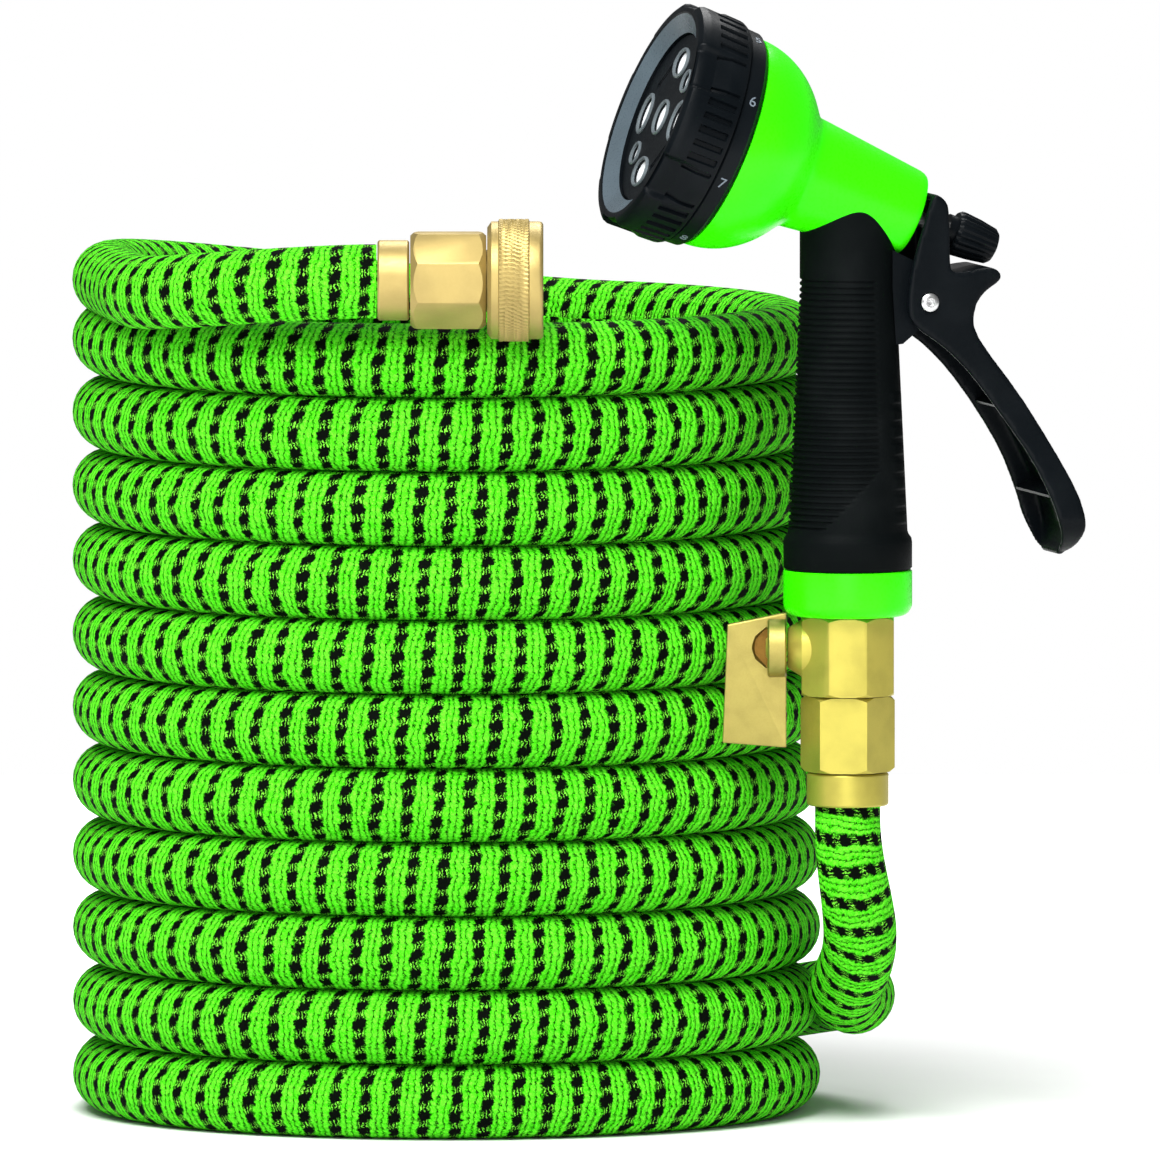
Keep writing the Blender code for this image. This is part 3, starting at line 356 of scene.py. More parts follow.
def sleeve_material(looks):
    """Woven sleeve: ridges round the hose, and a ring of black checks every few ridges."""
    made, tree, shader = new_material("woven_sleeve")
    source = tree.nodes.new("ShaderNodeUVMap")
    source.uv_map = "run"
    parts = tree.nodes.new("ShaderNodeSeparateXYZ")
    tree.links.new(source.outputs[0], parts.inputs[0])
    along, around = parts.outputs[0], parts.outputs[1]
    place = object_place(tree)
    sway = calc(tree, "SUBTRACT", noise(tree, place, 170.0, 1.0), 0.5)
    fray = calc(tree, "SUBTRACT", noise(tree, place, 1100.0, 2.0, 0.6), 0.5)
    shift = calc(tree, "ADD", calc(tree, "MULTIPLY", sway, 0.34), calc(tree, "MULTIPLY", fray, 0.26))
    run = calc(tree, "ADD", calc(tree, "DIVIDE", along, TURN * looks.radius / looks.columns), shift)
    run = calc(tree, "ADD", run, calc(tree, "MULTIPLY", around, looks.slant))
    column = calc(tree, "FLOOR", run)
    part = calc(tree, "FRACT", run)
    away = calc(tree, "ABSOLUTE", calc(tree, "SUBTRACT", part, 0.5))
    share = 0.32
    past = calc(tree, "FRACT", calc(tree, "ADD", part, 0.5 - share / 2))
    ridge = calc(tree, "FRACT", calc(tree, "DIVIDE", past, (1 - share) / 3))
    arch = calc(tree, "SINE", calc(tree, "MULTIPLY", ridge, math.pi))
    arch = calc(tree, "POWER", calc(tree, "ABSOLUTE", arch), 0.5)
    slope = calc(tree, "ABSOLUTE", calc(tree, "SUBTRACT", ridge, 0.5))
    stitch = calc(tree, "ADD", calc(tree, "MULTIPLY", around, 34.0), calc(tree, "MULTIPLY", slope, 1.3))
    stitch = calc(tree, "ADD", stitch, calc(tree, "MULTIPLY", fray, 1.6))
    stitch = calc(tree, "ABSOLUTE", calc(tree, "SUBTRACT", calc(tree, "FRACT", stitch), 0.5))
    knit = ramp(tree, stitch, 0.02, 0.20)

    chance = tree.nodes.new("ShaderNodeTexWhiteNoise")
    chance.noise_dimensions = "1D"
    tree.links.new(column, chance.inputs["W"])
    spin = calc(tree, "ADD", calc(tree, "MULTIPLY", around, float(looks.checks)),
                calc(tree, "MULTIPLY", chance.outputs[0], 0.5))
    spin = calc(tree, "ADD", spin, calc(tree, "MULTIPLY", part, 0.5))
    step = calc(tree, "FRACT", calc(tree, "ADD", spin, calc(tree, "MULTIPLY", fray, 0.45)))
    check = calc(
        tree, "MULTIPLY", ramp(tree, step, 0.0, 0.12), ramp(tree, step, 0.58, 0.72, 1.0, 0.0))
    thread = calc(tree, "DIVIDE", calc(tree, "SUBTRACT", part, 0.5 - share / 2), share / 3)
    thread = calc(tree, "FRACT", thread)
    thread = calc(tree, "ABSOLUTE", calc(tree, "SUBTRACT", thread, 0.5))
    dash = calc(
        tree, "MULTIPLY", ramp(tree, thread, 0.06, 0.24, 1.0, 0.0), calc(tree, "SUBTRACT", 1.0, check))
    blob = calc(tree, "MULTIPLY", check, ramp(tree, away, 0.16, 0.23, 1.0, 0.0))
    in_column = calc(tree, "MAXIMUM", ramp(tree, away, 0.12, 0.17, 1.0, 0.0), blob)

    fibre = noise(tree, object_place(tree), 2600.0, 2.0, 0.6)
    # Painted highlight: stitches on the ridge tops are lightened towards the light yarn colour, standing
    # in for glints of light on the strands.
    lit = calc(tree, "MULTIPLY", ramp(tree, fibre, 0.40, 0.75), knit)
    yarn = ramp(tree, calc(tree, "ADD", arch, calc(tree, "MULTIPLY", knit, 0.35)), 0.40, 1.05)
    shade = ramp(tree, noise(tree, place, 420.0, 2.0), 0.35, 0.65, 0.0, 0.30)
    ridge_colour = mixed(tree, yarn, looks.dark, mixed(tree, shade, looks.green, looks.light))
    ridge_colour = mixed(
        tree, calc(tree, "MULTIPLY", lit, ramp(tree, arch, 0.5, 1.0)), ridge_colour, looks.light)
    column_colour = mixed(tree, dash, looks.black, looks.light)
    column_colour = mixed(tree, check, column_colour, looks.black)
    feed(tree, shader.inputs["Base Color"], mixed(tree, in_column, ridge_colour, column_colour))

    low = calc(tree, "ADD", calc(tree, "MULTIPLY", dash, 0.45), calc(tree, "MULTIPLY", check, 0.25))
    tall = calc(tree, "ADD", calc(tree, "MULTIPLY", arch, 0.8), calc(tree, "MULTIPLY", knit, 0.22))
    level = tree.nodes.new("ShaderNodeMix")
    feed(tree, level.inputs[0], in_column)
    feed(tree, level.inputs[2], calc(tree, "ADD", tall, calc(tree, "MULTIPLY", fibre, 0.25)))
    feed(tree, level.inputs[3], low)
    relief_from(tree, shader, level.outputs[0], 1.0 * MM)
    feed(tree, shader.inputs["Roughness"], ramp(tree, fibre, 0.3, 0.7, 0.70, 0.90))
    shader.inputs["Specular IOR Level"].default_value = 0.04
    return made


# Hose


def on_circle(radius, turn, height, centre):
    """A point on a level circle round the coil's axis."""
    return Vector((centre.x + radius * math.cos(turn), centre.y + radius * math.sin(turn), height))


def hose_route(looks):
    """The hose's middle line, from the valve's ferrule round the coil to the tap coupling."""
    centre = middle("hose_coil")
    ferrule = middle("valve_ferrule")
    start_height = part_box("valve_ferrule")[0].z
    start_radius = math.hypot(ferrule.x - centre.x, ferrule.y - centre.y)
    start = math.atan2(ferrule.y - centre.y, ferrule.x - centre.x)
    floor = 0.5 * looks.diameter * math.cos(looks.foot)
    beside = looks.radius + looks.diameter + looks.ride_gap
    bend = math.radians(28.0)
    route = [on_circle(start_radius, start, start_height, centre)]
    top = start_height - looks.end_straight

    def riser_radius(turn):
        return start_radius + (beside - start_radius) * ease((turn - start) / math.radians(20.0))

    steps = 26
    for i in range(steps):
        quarter = 0.5 * math.pi * i / steps
        turn = start + bend * (1.0 - math.cos(quarter))
        height = top - (top - looks.riser_low) * math.sin(quarter)
        route.append(on_circle(riser_radius(turn), turn, height, centre))
    merge = math.radians(90.0)
    behind = start + bend
    last = looks.leaves + TURN * looks.turns
    count = round((last - behind) / math.radians(2.8))
    for i in range(count + 1):
        turn = behind + (last - behind) * i / count
        if turn < math.pi:
            down = ease((turn - behind) / (math.radians(94.0) - behind))
            height = looks.riser_low + (floor - looks.riser_low) * down
            radius = riser_radius(turn)
            radius += (looks.radius - beside) * ease((turn - merge) / (0.5 * math.pi))
        else:
            radius = looks.radius
            climbed = sum(
                ease((turn - TURN * level - looks.climb_from) / looks.climb_over)
                for level in range(1, looks.turns + 1))
            height = floor + looks.pitch * climbed
            height -= looks.sag * ease((turn - last) / math.radians(110.0) + 1.0)
        route.append(on_circle(radius, turn, height, centre))

    heading = looks.leaves + 0.5 * math.pi - TURN
    way = Vector((math.cos(heading), math.sin(heading), 0.0))
    for i in range(8):
        route.append(route[-1] + way * looks.straight / 8)
    turn_left = looks.yaw - heading
    steps = 20
    for i in range(steps):
        chord = 2.0 * looks.bend * math.sin(0.5 * turn_left / steps)
        to = heading + turn_left * (i + 0.5) / steps
        rise = looks.lift / steps + looks.sag * (ease((i + 1) / steps) - ease(i / steps))
        route.append(route[-1] + Vector((chord * math.cos(to), chord * math.sin(to), rise)))
    along = Vector((math.cos(looks.yaw), math.sin(looks.yaw), 0.0))
    route.append(route[-1] + along * looks.end_straight)
    return route, centre


def make_sleeve(looks):
    """The whole hose as one woven tube."""
    route, centre = hose_route(looks)
    sides = 28
    corners = []
    reaches = []
    run = 0.0
    for i, spot in enumerate(route):
        run += (spot - route[i - 1]).length if i else 0.0
        reaches.append(run)
        ahead = (route[min(i + 1, len(route) - 1)] - route[max(i - 1, 0)]).normalized()
        outward = Vector((spot.x - centre.x, spot.y - centre.y, 0.0)).normalized()
        outward = (outward - ahead * outward.dot(ahead)).normalized()
        up = ahead.cross(outward)
        swell = ease(run / 0.045)
        radius = 0.5 * (looks.shrunk + (looks.diameter - looks.shrunk) * swell)
        for side in range(sides):
            turn = TURN * side / sides + math.pi
            corner = spot + (outward * math.cos(turn) + up * math.sin(turn)) * radius
            corner.z = max(corner.z, 0.0)
            corners.append(corner)
    faces = []
    uvs = []
    for i in range(len(route) - 1):
        for side in range(sides):
            after = (side + 1) % sides
            row, ahead = i * sides, (i + 1) * sides
            faces.append((row + side, row + after, ahead + after, ahead + side))
            low, high = side / sides, (side + 1) / sides
            uvs += [(reaches[i], low), (reaches[i], high), (reaches[i + 1], high), (reaches[i + 1], low)]
    faces.append(tuple(reversed(range(sides))))
    uvs += [(0.0, 0.0)] * sides
    last = (len(route) - 1) * sides
    faces.append(tuple(range(last, last + sides)))
    uvs += [(run, 0.0)] * sides
    data = bpy.data.meshes.new("hose_sleeve")
    data.from_pydata(corners, [], faces)
    layer = data.uv_layers.new(name="run")
    for loop, uv in zip(layer.data, uvs):
        loop.uv = uv
    data.shade_smooth()
    data.set_sharp_from_angle(angle=math.radians(60.0))
    data.materials.append(sleeve_material(looks))
    hose = bpy.data.objects.new("hose_sleeve", data)
    collect(hose)
    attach(hose, "hose")
    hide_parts("hose_coil", "hose_top_turn", "hose_riser")
    return hose, route, run


# Operators


class HOSE_OT_sleeve(bpy.types.Operator):
    """Wind the woven hose from the valve round the coil to the tap coupling"""

    bl_idname = "garden_hose.sleeve"
    bl_label = "Woven hose"

    def execute(self, context):
        looks = context.scene.hose_settings
        hose, route, run = make_sleeve(looks)
        context.scene["hose_run"] = run
        return {"FINISHED"}


class HOSE_OT_tap_coupling(bpy.types.Operator):
    """Finish the ferrule, octagon body, knurled swivel nut and washer at the tap end"""

    bl_idname = "garden_hose.tap_coupling"
    bl_label = "Tap coupling"

    def execute(self, context):
        fit = context.scene.fitting_settings
        brass = metal("coupling_brass", fit.brass, 0.38, 0.50, 1300.0, 0.006 * MM, 0.65)
        dress("tap_ferrule", brass)
        dress("tap_body", brass)
        dress("tap_washer", plastic("washer_rubber", fit.rubber, 0.5, 0.75, 1800.0, 0.03 * MM))
        place = joint("swivel_turn")
        low, high = 31.4 * MM, 47.3 * MM
        rim, bore = 17.4 * MM, 13.2 * MM
        shelf = high - 12.0 * MM
        hole = 8.8 * MM
        band_low, band_high = low + 3.4 * MM, high - 4.2 * MM
        groove = 0.7 * MM
        rows = 10
        profile = [
            (bore + 0.8 * MM, high), (rim - 1.6 * MM, high), (rim - 0.9 * MM, high - 0.4 * MM),
            (rim - groove, high - 1.2 * MM), (rim - groove, band_high + 0.3 * MM)]
        for row in range(rows + 1):
            profile.append((rim, band_high + (band_low - band_high) * row / rows))
        profile += [
            (rim - groove, band_low - 0.3 * MM), (rim - groove, low + 1.2 * MM),
            (rim - 2.4 * MM, low), (hole, low), (hole, shelf), (bore, shelf), (bore, high - 0.8 * MM)]
        teeth = 84

        def knurl(turn, radius, height):
            if radius < rim - 0.1 * MM or not band_low < height < band_high:
                return 0.0
            slant = teeth * turn + (low - height) * 2600.0
            return -0.65 * MM * (0.5 + 0.5 * math.cos(slant)) ** 1.5

        nut = lathe(
            "knurled_nut", profile, place, teeth * 5, brass, "swivel", knurl, closed=True,
            smooth=math.radians(50.0))
        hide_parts("tap_swivel_nut")
        return {"FINISHED"}


class HOSE_OT_valve(bpy.types.Operator):
    """Finish the shut-off valve and its lever"""

    bl_idname = "garden_hose.valve"
    bl_label = "Shut-off valve"

    def execute(self, context):
        fit = context.scene.fitting_settings
        brass = metal("valve_brass", fit.valve_brass, 0.38, 0.50, 2200.0, 0.016 * MM, 0.70)
        for node in ("valve_ferrule", "valve_lower_body", "valve_body", "lever_screw"):
            dress(node, brass)
        dress("valve_lever", metal("lever_brass", fit.lever_brass, 0.42, 0.55, 2400.0, 0.020 * MM))
        # Painted shade: the brown plate behind the lever's pocket closes the hole through the plate, and
        # its darker colour stands in for the shade in the hollow.
        hollow = metal("painted_shade_brass", (0.26, 0.14, 0.03, 1.0), 0.45, 0.6, 2400.0, 0.02 * MM)
        spot = joint("valve_turn") @ Matrix.Translation((0.0, -3.4 * MM, 24.3 * MM))
        box_piece("lever_shade_backing", spot, (11.8 * MM, 0.8 * MM, 7.4 * MM), hollow, "lever")
        return {"FINISHED"}


class HOSE_OT_handle(bpy.types.Operator):
    """Build the nozzle's bulb and barrel, its ribbed grip and its green connector"""

    bl_idname = "garden_hose.handle"
    bl_label = "Nozzle handle"

    def execute(self, context):
        fit = context.scene.fitting_settings
        green = plastic(
            "green_plastic", fit.green, 0.24, 0.34, 900.0, 0.002 * MM,
            edge=(0.044, 0.95, 0.0006, 1.0), shine=0.16)
        rubber = plastic("grip_rubber", fit.rubber, 0.50, 0.66, 2400.0, 0.02 * MM, shine=0.03)
        barrel = joint("dial_turn")
        front = -fit.dial_front + fit.dial_depth + fit.collar_depth + 0.3 * MM
        end = fit.barrel_end
        profile = [
            (0.0, end - 3.0 * MM), (2.5 * MM, end - 3.0 * MM), (2.5 * MM, end),
            (11.4 * MM, end), (12.1 * MM, end - 0.25 * MM), (12.5 * MM, end - 0.9 * MM)]
        neck, slim, wide = -14.0 * MM, 12.6 * MM, 16.3 * MM
        bulb, depth = 31.0 * MM, 27.5 * MM
        steps, blend = 64, 14
        for step in range(steps):
            height = end - 2.0 * MM + (front - end + 2.0 * MM) * ease(step / steps) ** 0.8
            share = min(max((end - height) / (end - neck), 0.0), 1.0)
            cone = slim + (wide - slim) * share
            cap = bulb * math.sqrt(max(0.0, 1.0 - ((height - front) / depth) ** 2))
            if height < neck + 12.0 * MM:
                cone = (cone ** blend + cap ** blend) ** (1 / blend)
            profile.append((cone, height))
        profile += [(bulb, front), (0.0, front)]
        body = lathe("nozzle_shell", profile, barrel, 256, green, "hose")
        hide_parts("nozzle_body")

        low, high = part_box("nozzle_connector")
        column = Matrix.Translation(((low.x + high.x) / 2, (low.y + high.y) / 2, 0.0))
        rim = (high.x - low.x) / 2
        curve = 3.4 * MM
        profile = [(10.0 * MM, high.z), (rim - 0.4 * MM, high.z), (rim, high.z - 0.4 * MM)]
        for step in range(7):
            turn = 0.5 * math.pi * step / 6
            profile.append((rim - curve + curve * math.cos(turn), low.z + curve - curve * math.sin(turn)))
        profile.append((12.2 * MM, low.z))
        profile.append((12.2 * MM, high.z - 2.0 * MM))
        profile.append((10.0 * MM, high.z - 2.0 * MM))
        ring = lathe("connector_ring", profile, column, 112, green, "hose", closed=True)
        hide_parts("nozzle_connector")

        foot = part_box("handle_grip")[0].z
        grip_top = barrel.translation.z - 3.5 * MM
        flare = foot + fit.flare
        waist = barrel.translation.z - 27.3 * MM
        wide, narrow = 17.0 * MM, 13.7 * MM
        rim = 18.3 * MM
        profile = [(0.0, grip_top), (narrow, grip_top), (narrow, waist + 6.0 * MM)]
        rows = int((waist + 6.0 * MM - flare) / fit.rib_pitch * 6)
        for row in range(1, rows + 1):
            height = waist + 6.0 * MM + (flare - waist - 6.0 * MM) * row / rows
            share = min(1.0, (height - flare) / (waist - flare))
            profile.append((wide + (narrow - wide) * share, height))
        profile += [
            (17.3 * MM, flare - 0.9 * MM), (18.1 * MM, flare - 2.0 * MM), (rim, flare - 3.2 * MM),
            (rim, foot + 0.5 * MM), (rim - 0.4 * MM, foot), (0.0, foot)]
        facing = math.radians(15.0)

        def ribs(turn, radius, height):
            side = (turn - facing + math.pi) % TURN - math.pi
            if not flare + 1.0 * MM < height < waist + 3.0 * MM:
                return 0.0
            edge = 0.62 * math.pi - 0.35 * math.pi * max(0.0, 1.0 - (height - flare) / (18.0 * MM))
            away = abs(abs(side) - math.pi)
            fade = ease((edge - away) / 0.06)
            wave = 0.5 + 0.5 * math.cos(TURN * height / fit.rib_pitch)
            cut = -0.55 * MM * ease((wave - 0.35) / 0.4) * fade
            bead = (height - flare - 1.5 * MM) / (4.9 * MM)
            near = abs(side + math.radians(38.0)) / math.radians(16.0)
            lump = 0.0
            if 0.0 < bead < 8.0 and near < 1.0:
                lump = 0.35 * MM * ease((1.0 - near) * 3.0) * ease((0.36 - abs(bead % 1.0 - 0.5)) * 8.0)
            return cut + lump

        grip = lathe("ribbed_grip", profile, column, 120, rubber, "hose", ribs, smooth=math.radians(40.0))
        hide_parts("handle_grip")
        return {"FINISHED"}


class HOSE_OT_dial(bpy.types.Operator):
    """Build the pattern dial, its numbered collar and its spray face"""

    bl_idname = "garden_hose.dial"
    bl_label = "Spray dial"

    def execute(self, context):
        fit = context.scene.fitting_settings
        black = plastic("black_plastic", fit.black, 0.30, 0.42, 1600.0, 0.010 * MM, shine=0.07)
        # Painted highlight: the dial's front bevel gets a lighter grey for the thin highlight along it.
        slate = plastic("slate_plastic", fit.slate, 0.25, 0.40, 1600.0, 0.02 * MM)
        marking = plastic("marking_paint", fit.marking, 0.4, 0.5, 1600.0, 0.01 * MM)
        place = joint("dial_turn")
        front = -fit.dial_front
        back = front + fit.dial_depth
        rim = fit.dial_radius
        bore = 25.4 * MM
        rib_from, rib_to = front + 6.2 * MM, back - 1.1 * MM
        outer = [
            (rim - 1.0 * MM, back), (rim - 0.6 * MM, rib_to + 0.3 * MM), (rim - 0.6 * MM, rib_to),
            (rim - 0.5 * MM, rib_to - 0.25 * MM), (rim - 0.3 * MM, 0.5 * (rib_from + rib_to)),
            (rim - 0.1 * MM, rib_from + 0.25 * MM), (rim - 0.1 * MM, rib_from),
            (rim, front + 3.6 * MM), (rim, front + 2.2 * MM), (rim - 0.5 * MM, front + 0.9 * MM),
            (rim - 1.6 * MM, front + 0.1 * MM), (rim - 2.4 * MM, front)]
        profile = [(bore, back)] + outer + [(30.6 * MM, front), (30.2 * MM, front + 0.3 * MM)]
        profile.append((bore, front + 3.2 * MM))
        ribs = 6
        pitch = math.radians(7.0)

        def grips(turn, radius, height):
            if radius < rim - 1.8 * MM:
                return 0.0
            lobe = (turn * fit.lobes / TURN) % 1.0 - 0.5
            away = abs(lobe) * TURN / fit.lobes
            dip = -1.7 * MM * ease((away - math.radians(17.0)) / math.radians(3.5))
            dip *= ease((front + 11.0 * MM - height) / (4.0 * MM))
            place_in = lobe * TURN / fit.lobes / pitch
            slot = abs(place_in - round(place_in)) < 0.20
            if slot and abs(place_in) < ribs / 2 + 0.1 and rib_from < height < rib_to:
                dip -= 0.95 * MM
            return dip

        ring = lathe("dial_grip", profile, place, 540, black, "dial", grips, closed=True)
        # Faces of the front bevel take the painted highlight grey.
        ring.data.materials.append(slate)
        centre = place.translation
        axis = place.to_3x3().col[2]
        for face in ring.data.polygons:
            reach = face.center - centre
            height = reach.dot(axis)
            if (reach - axis * height).length < 30.3 * MM and height < front + 3.4 * MM:
                face.material_index = 1
        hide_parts("dial_ring")
        dress("spray_face", black, 0.25 * MM)
        # Painted highlight: a pale insert behind the face's holes makes them bright, standing in for the
        # glints in the holes.
        pale = plastic("glint_insert_plastic", fit.pale, 0.25, 0.4, 1500.0, 0.01 * MM)
        rim_grey = plastic("face_ring", (0.10, 0.12, 0.13, 1.0), 0.25, 0.4, 1500.0, 0.01 * MM)
        insert = front + 4.7 * MM
        lathe(
            "spray_glint_insert", [(0.0, insert + 1.0 * MM), (24.0 * MM, insert + 1.0 * MM),
                             (24.0 * MM, insert), (0.0, insert)], place, 64, pale, "dial")

        rings = [(0.0, 0.0, 4.4, 1.0, 1.0)]
        for number in range(8):
            if number % 4 != 3:
                wide = 3.6 if number % 2 == 0 else 2.6
                rings.append((number * TURN / 8, 16.5, wide, 1.0, 1.35 if number % 2 == 0 else 1.0))
        for number, (turn, out, hole, stretch_x, stretch_y) in enumerate(rings):
            spot = place @ Matrix.Rotation(turn, 4, "Z") @ Matrix.Translation(
                (out * MM, 0.0, front + 4.0 * MM)) @ Matrix.Diagonal((stretch_x, stretch_y, 1.0, 1.0))
            lathe("face_ring_%d" % (number + 1), [
                ((hole + 0.1) * MM, 0.4 * MM), ((hole + 0.1) * MM, -0.5 * MM),
                ((hole + 0.6) * MM, -0.7 * MM), ((hole + 1.0) * MM, -0.4 * MM),
                ((hole + 1.1) * MM, 0.4 * MM)], spot, 32, rim_grey, "dial", closed=True)

        low = back + 0.3 * MM
        high = back + fit.collar_depth
        profile = [
            (0.0, high), (30.6 * MM, high), (31.0 * MM, high - 0.3 * MM), (32.2 * MM, high - 1.4 * MM),
            (32.4 * MM, low + 0.6 * MM), (31.8 * MM, low), (0.0, low)]
        collar = lathe("number_collar", profile, place, 144, black, "hose")
        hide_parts("dial_collar")
        for number in range(1, 9):
            words = bpy.data.curves.new("dial_number_%d" % number, "FONT")
            words.body = str(number)
            words.size = 4.4 * MM
            words.extrude = 0.15 * MM
            words.align_x = "CENTER"
            words.align_y = "CENTER"
            spot = bpy.data.objects.new("dial_number_%d" % number, words)
            turn = Matrix.Rotation(TURN * (number - 0.5) / 8, 4, "Z")
            stand = Matrix.Translation((32.25 * MM, 0.0, 0.5 * (low + high) - 0.3 * MM))
            facing = Matrix(((0, 0, 1, 0), (0, -1, 0, 0), (1, 0, 0, 0), (0, 0, 0, 1)))
            spot.matrix_world = place @ turn @ stand @ facing
            words.materials.append(marking)
            collect(spot)
            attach(spot, "hose")
        return {"FINISHED"}


class HOSE_OT_trigger(bpy.types.Operator):
    """Finish the trigger with its inner ribs, bracket, pin, push rod and fluted flow knob"""

    bl_idname = "garden_hose.trigger"
    bl_label = "Trigger and flow knob"

    def execute(self, context):
        fit = context.scene.fitting_settings
        black = plastic("trigger_plastic", fit.black, 0.30, 0.42, 1500.0, 0.010 * MM, shine=0.07)
        steel = metal("pin_steel", fit.steel, 0.30, 0.38, 1500.0, 0.003 * MM)
        dress("trigger", black)
        # The trigger's long curves get one smooth skin in place of broken edges.
        trigger = frame["nodes"]["trigger"]
        trigger.modifiers.clear()
        moulded = trigger.modifiers.new("moulded skin", "REMESH")
        moulded.mode = "VOXEL"
        moulded.voxel_size = 0.6 * MM
        moulded.use_smooth_shade = True
        softened = trigger.modifiers.new("softened edges", "SMOOTH")
        softened.factor = 0.5
        softened.iterations = 6
        dress("trigger_bracket", black)
        dress("push_rod", steel)
        pin = Matrix.Translation(joint("trigger_squeeze").translation) @ Matrix.Rotation(
            math.radians(15.0), 4, "Z")
        for number, (x, z, slant, size, width) in enumerate((
                (23.0, -28.6, 54.0, 5.6, 24.6), (37.0, -54.4, 66.0, 6.0, 34.8))):
            spot = pin @ Matrix.Translation((x * MM, 0.0, z * MM)) @ Matrix.Rotation(
                math.radians(slant - 90.0), 4, "Y")
            box_piece("trigger_rib_%d" % (number + 1), spot,
                      (size * MM, width * MM, 0.8 * MM), black, "squeeze")
        pin_end, rim = 15.1 * MM, 2.6 * MM
        face = [
            (0.0, pin_end - 0.5 * MM), (0.7 * MM, pin_end - 0.4 * MM), (1.1 * MM, pin_end + 0.1 * MM),
            (1.5 * MM, pin_end + 0.15 * MM), (2.2 * MM, pin_end - 0.1 * MM), (rim, pin_end - 0.5 * MM),
            (rim, pin_end - 0.8 * MM), (1.95 * MM, pin_end - 0.8 * MM)]
        whole = face + [(radius, -height) for radius, height in reversed(face)]
        rivet = lathe("pin_rivet", whole, joint("trigger_squeeze"), 40, steel, "hose")
        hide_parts("trigger_pin")
        place = joint("dial_turn")
        front = fit.knob_front
        end = front + fit.knob_depth
        wide, narrow = 6.5 * MM, 5.3 * MM
        profile = [
            (0.0, end), (3.0 * MM, end - 0.05 * MM), (narrow - 0.9 * MM, end - 0.5 * MM),
            (narrow, end - 1.6 * MM), (0.5 * (wide + narrow) + 0.2 * MM, 0.5 * (front + end)),
            (wide, front + 2.0 * MM), (wide, front + 0.9 * MM), (wide - 0.7 * MM, front),
            (4.5 * MM, front), (4.5 * MM, front - 2.4 * MM), (0.0, front - 2.4 * MM)]

        def flutes(turn, radius, height):
            if radius < 4.9 * MM or height < front + 0.5 * MM:
                return 0.0
            return -0.45 * MM * (0.5 + 0.5 * math.cos(18 * turn)) ** 2

        knob = lathe("fluted_knob", profile, place, 144, black, "knob", flutes)
        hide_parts("flow_knob")
        return {"FINISHED"}


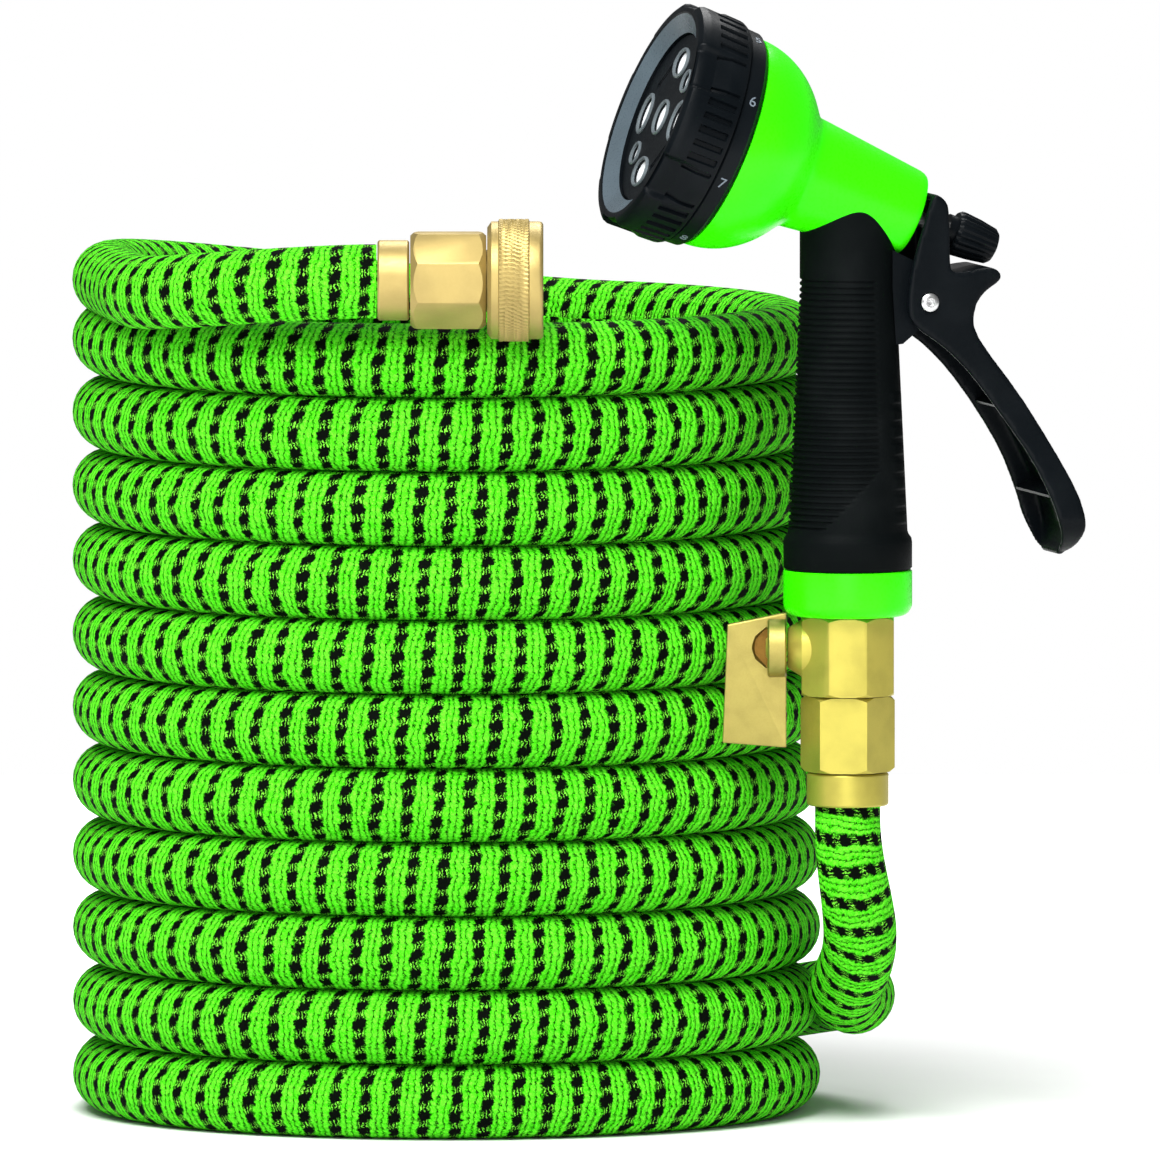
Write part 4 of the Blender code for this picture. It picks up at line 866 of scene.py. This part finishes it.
class HOSE_OT_stage(bpy.types.Operator):
    """Set the pale floor, soft light and the camera at the photograph's angle"""

    bl_idname = "garden_hose.stage"
    bl_label = "Studio"

    def execute(self, context):
        scene = context.scene
        made, tree, shader = new_material("pale_floor")
        place = object_place(tree)
        grain = noise(tree, place, 30.0, 3.0)
        feed(tree, shader.inputs["Base Color"], mixed(
            tree, grain, (0.90, 0.90, 0.90, 1.0), (0.94, 0.94, 0.94, 1.0)))
        feed(tree, shader.inputs["Roughness"], ramp(tree, grain, 0.3, 0.7, 0.75, 0.9))
        reach = tree.nodes.new("ShaderNodeVectorMath")
        reach.operation = "LENGTH"
        tree.links.new(place, reach.inputs[0])
        feed(tree, shader.inputs["Emission Strength"], ramp(
            tree, reach.outputs["Value"], 0.28, 0.80, 0.0, 0.6))
        shader.inputs["Emission Color"].default_value = (1.0, 1.0, 1.0, 1.0)
        data = bpy.data.meshes.new("floor")
        reach = 1.2
        data.from_pydata([(-reach, -reach, -0.0004), (reach, -reach, -0.0004), (reach, reach, -0.0004),
                          (-reach, reach, -0.0004)], [], [(0, 1, 2, 3)])
        data.materials.append(made)
        floor = bpy.data.objects.new("floor", data)
        scene.collection.objects.link(floor)

        world = bpy.data.worlds.new("studio")
        world.use_nodes = True
        sky = world.node_tree
        sky.nodes["Background"].inputs[0].default_value = (1.0, 1.0, 1.0, 1.0)
        seen = sky.nodes.new("ShaderNodeLightPath").outputs["Is Camera Ray"]
        feed(sky, sky.nodes["Background"].inputs[1], ramp(sky, seen, 0.0, 1.0, 0.20, 1.0))
        scene.world = world
        for name, spot, size, power in (
                ("key", (-0.40, -1.20, 1.65), 1.4, 66.0),
                ("fill", (0.0, -2.4, 0.30), 1.4, 16.0),
                ("rim", (0.2, 0.9, 1.3), 0.8, 13.0)):
            light = bpy.data.lights.new(name, "AREA")
            light.shape = "DISK"
            light.size = size
            light.energy = power
            lamp = bpy.data.objects.new(name, light)
            lamp.location = spot
            aim = Vector((0.0, 0.0, 0.15)) - lamp.location
            lamp.rotation_euler = aim.to_track_quat("-Z", "Y").to_euler()
            scene.collection.objects.link(lamp)

        lens = bpy.data.cameras.new("camera")
        lens.sensor_width = 36.0
        away = 12.0
        lens.lens = 36.0 * away / 0.3319
        lens.clip_end = 90.0
        camera = bpy.data.objects.new("camera", lens)
        rise = math.radians(4.3)
        aim = Vector((middle("hose_coil").x + 38.2 * MM, middle("hose_coil").y, 151.6 * MM))
        camera.location = aim + away * Vector((0.0, -math.cos(rise), math.sin(rise)))
        camera.rotation_euler = (0.5 * math.pi - rise, 0.0, 0.0)
        scene.collection.objects.link(camera)
        scene.camera = camera
        scene.view_settings.view_transform = "Standard"
        return {"FINISHED"}


OPERATORS = (
    HOSE_OT_sleeve, HOSE_OT_tap_coupling, HOSE_OT_valve, HOSE_OT_handle, HOSE_OT_dial,
    HOSE_OT_trigger, HOSE_OT_stage)


class HOSE_PT_panel(bpy.types.Panel):
    """Settings and steps of the garden hose"""

    bl_label = "Garden hose"
    bl_idname = "HOSE_PT_panel"
    bl_space_type = "VIEW_3D"
    bl_region_type = "UI"
    bl_category = "Garden hose"

    def draw(self, context):
        for settings in (context.scene.hose_settings, context.scene.fitting_settings):
            box = self.layout.box()
            for name in settings.bl_rna.properties.keys():
                if name not in ("rna_type", "name"):
                    box.prop(settings, name)
        for operator in OPERATORS:
            self.layout.operator(operator.bl_idname)


CLASSES = (HoseSettings, FittingSettings) + OPERATORS + (HOSE_PT_panel,)


def register():
    """Add the settings, operators and panel."""
    for each in CLASSES:
        bpy.utils.register_class(each)
    bpy.types.Scene.hose_settings = bpy.props.PointerProperty(type=HoseSettings)
    bpy.types.Scene.fitting_settings = bpy.props.PointerProperty(type=FittingSettings)


def unregister():
    """Take them out again."""
    del bpy.types.Scene.hose_settings
    del bpy.types.Scene.fitting_settings
    for each in reversed(CLASSES):
        bpy.utils.unregister_class(each)


def main():
    """Dress the frame, piece by piece."""
    register()
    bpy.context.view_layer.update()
    for operator in OPERATORS:
        family, name = operator.bl_idname.split(".")
        getattr(getattr(bpy.ops, family), name)()


if __name__ == "__main__":
    main()
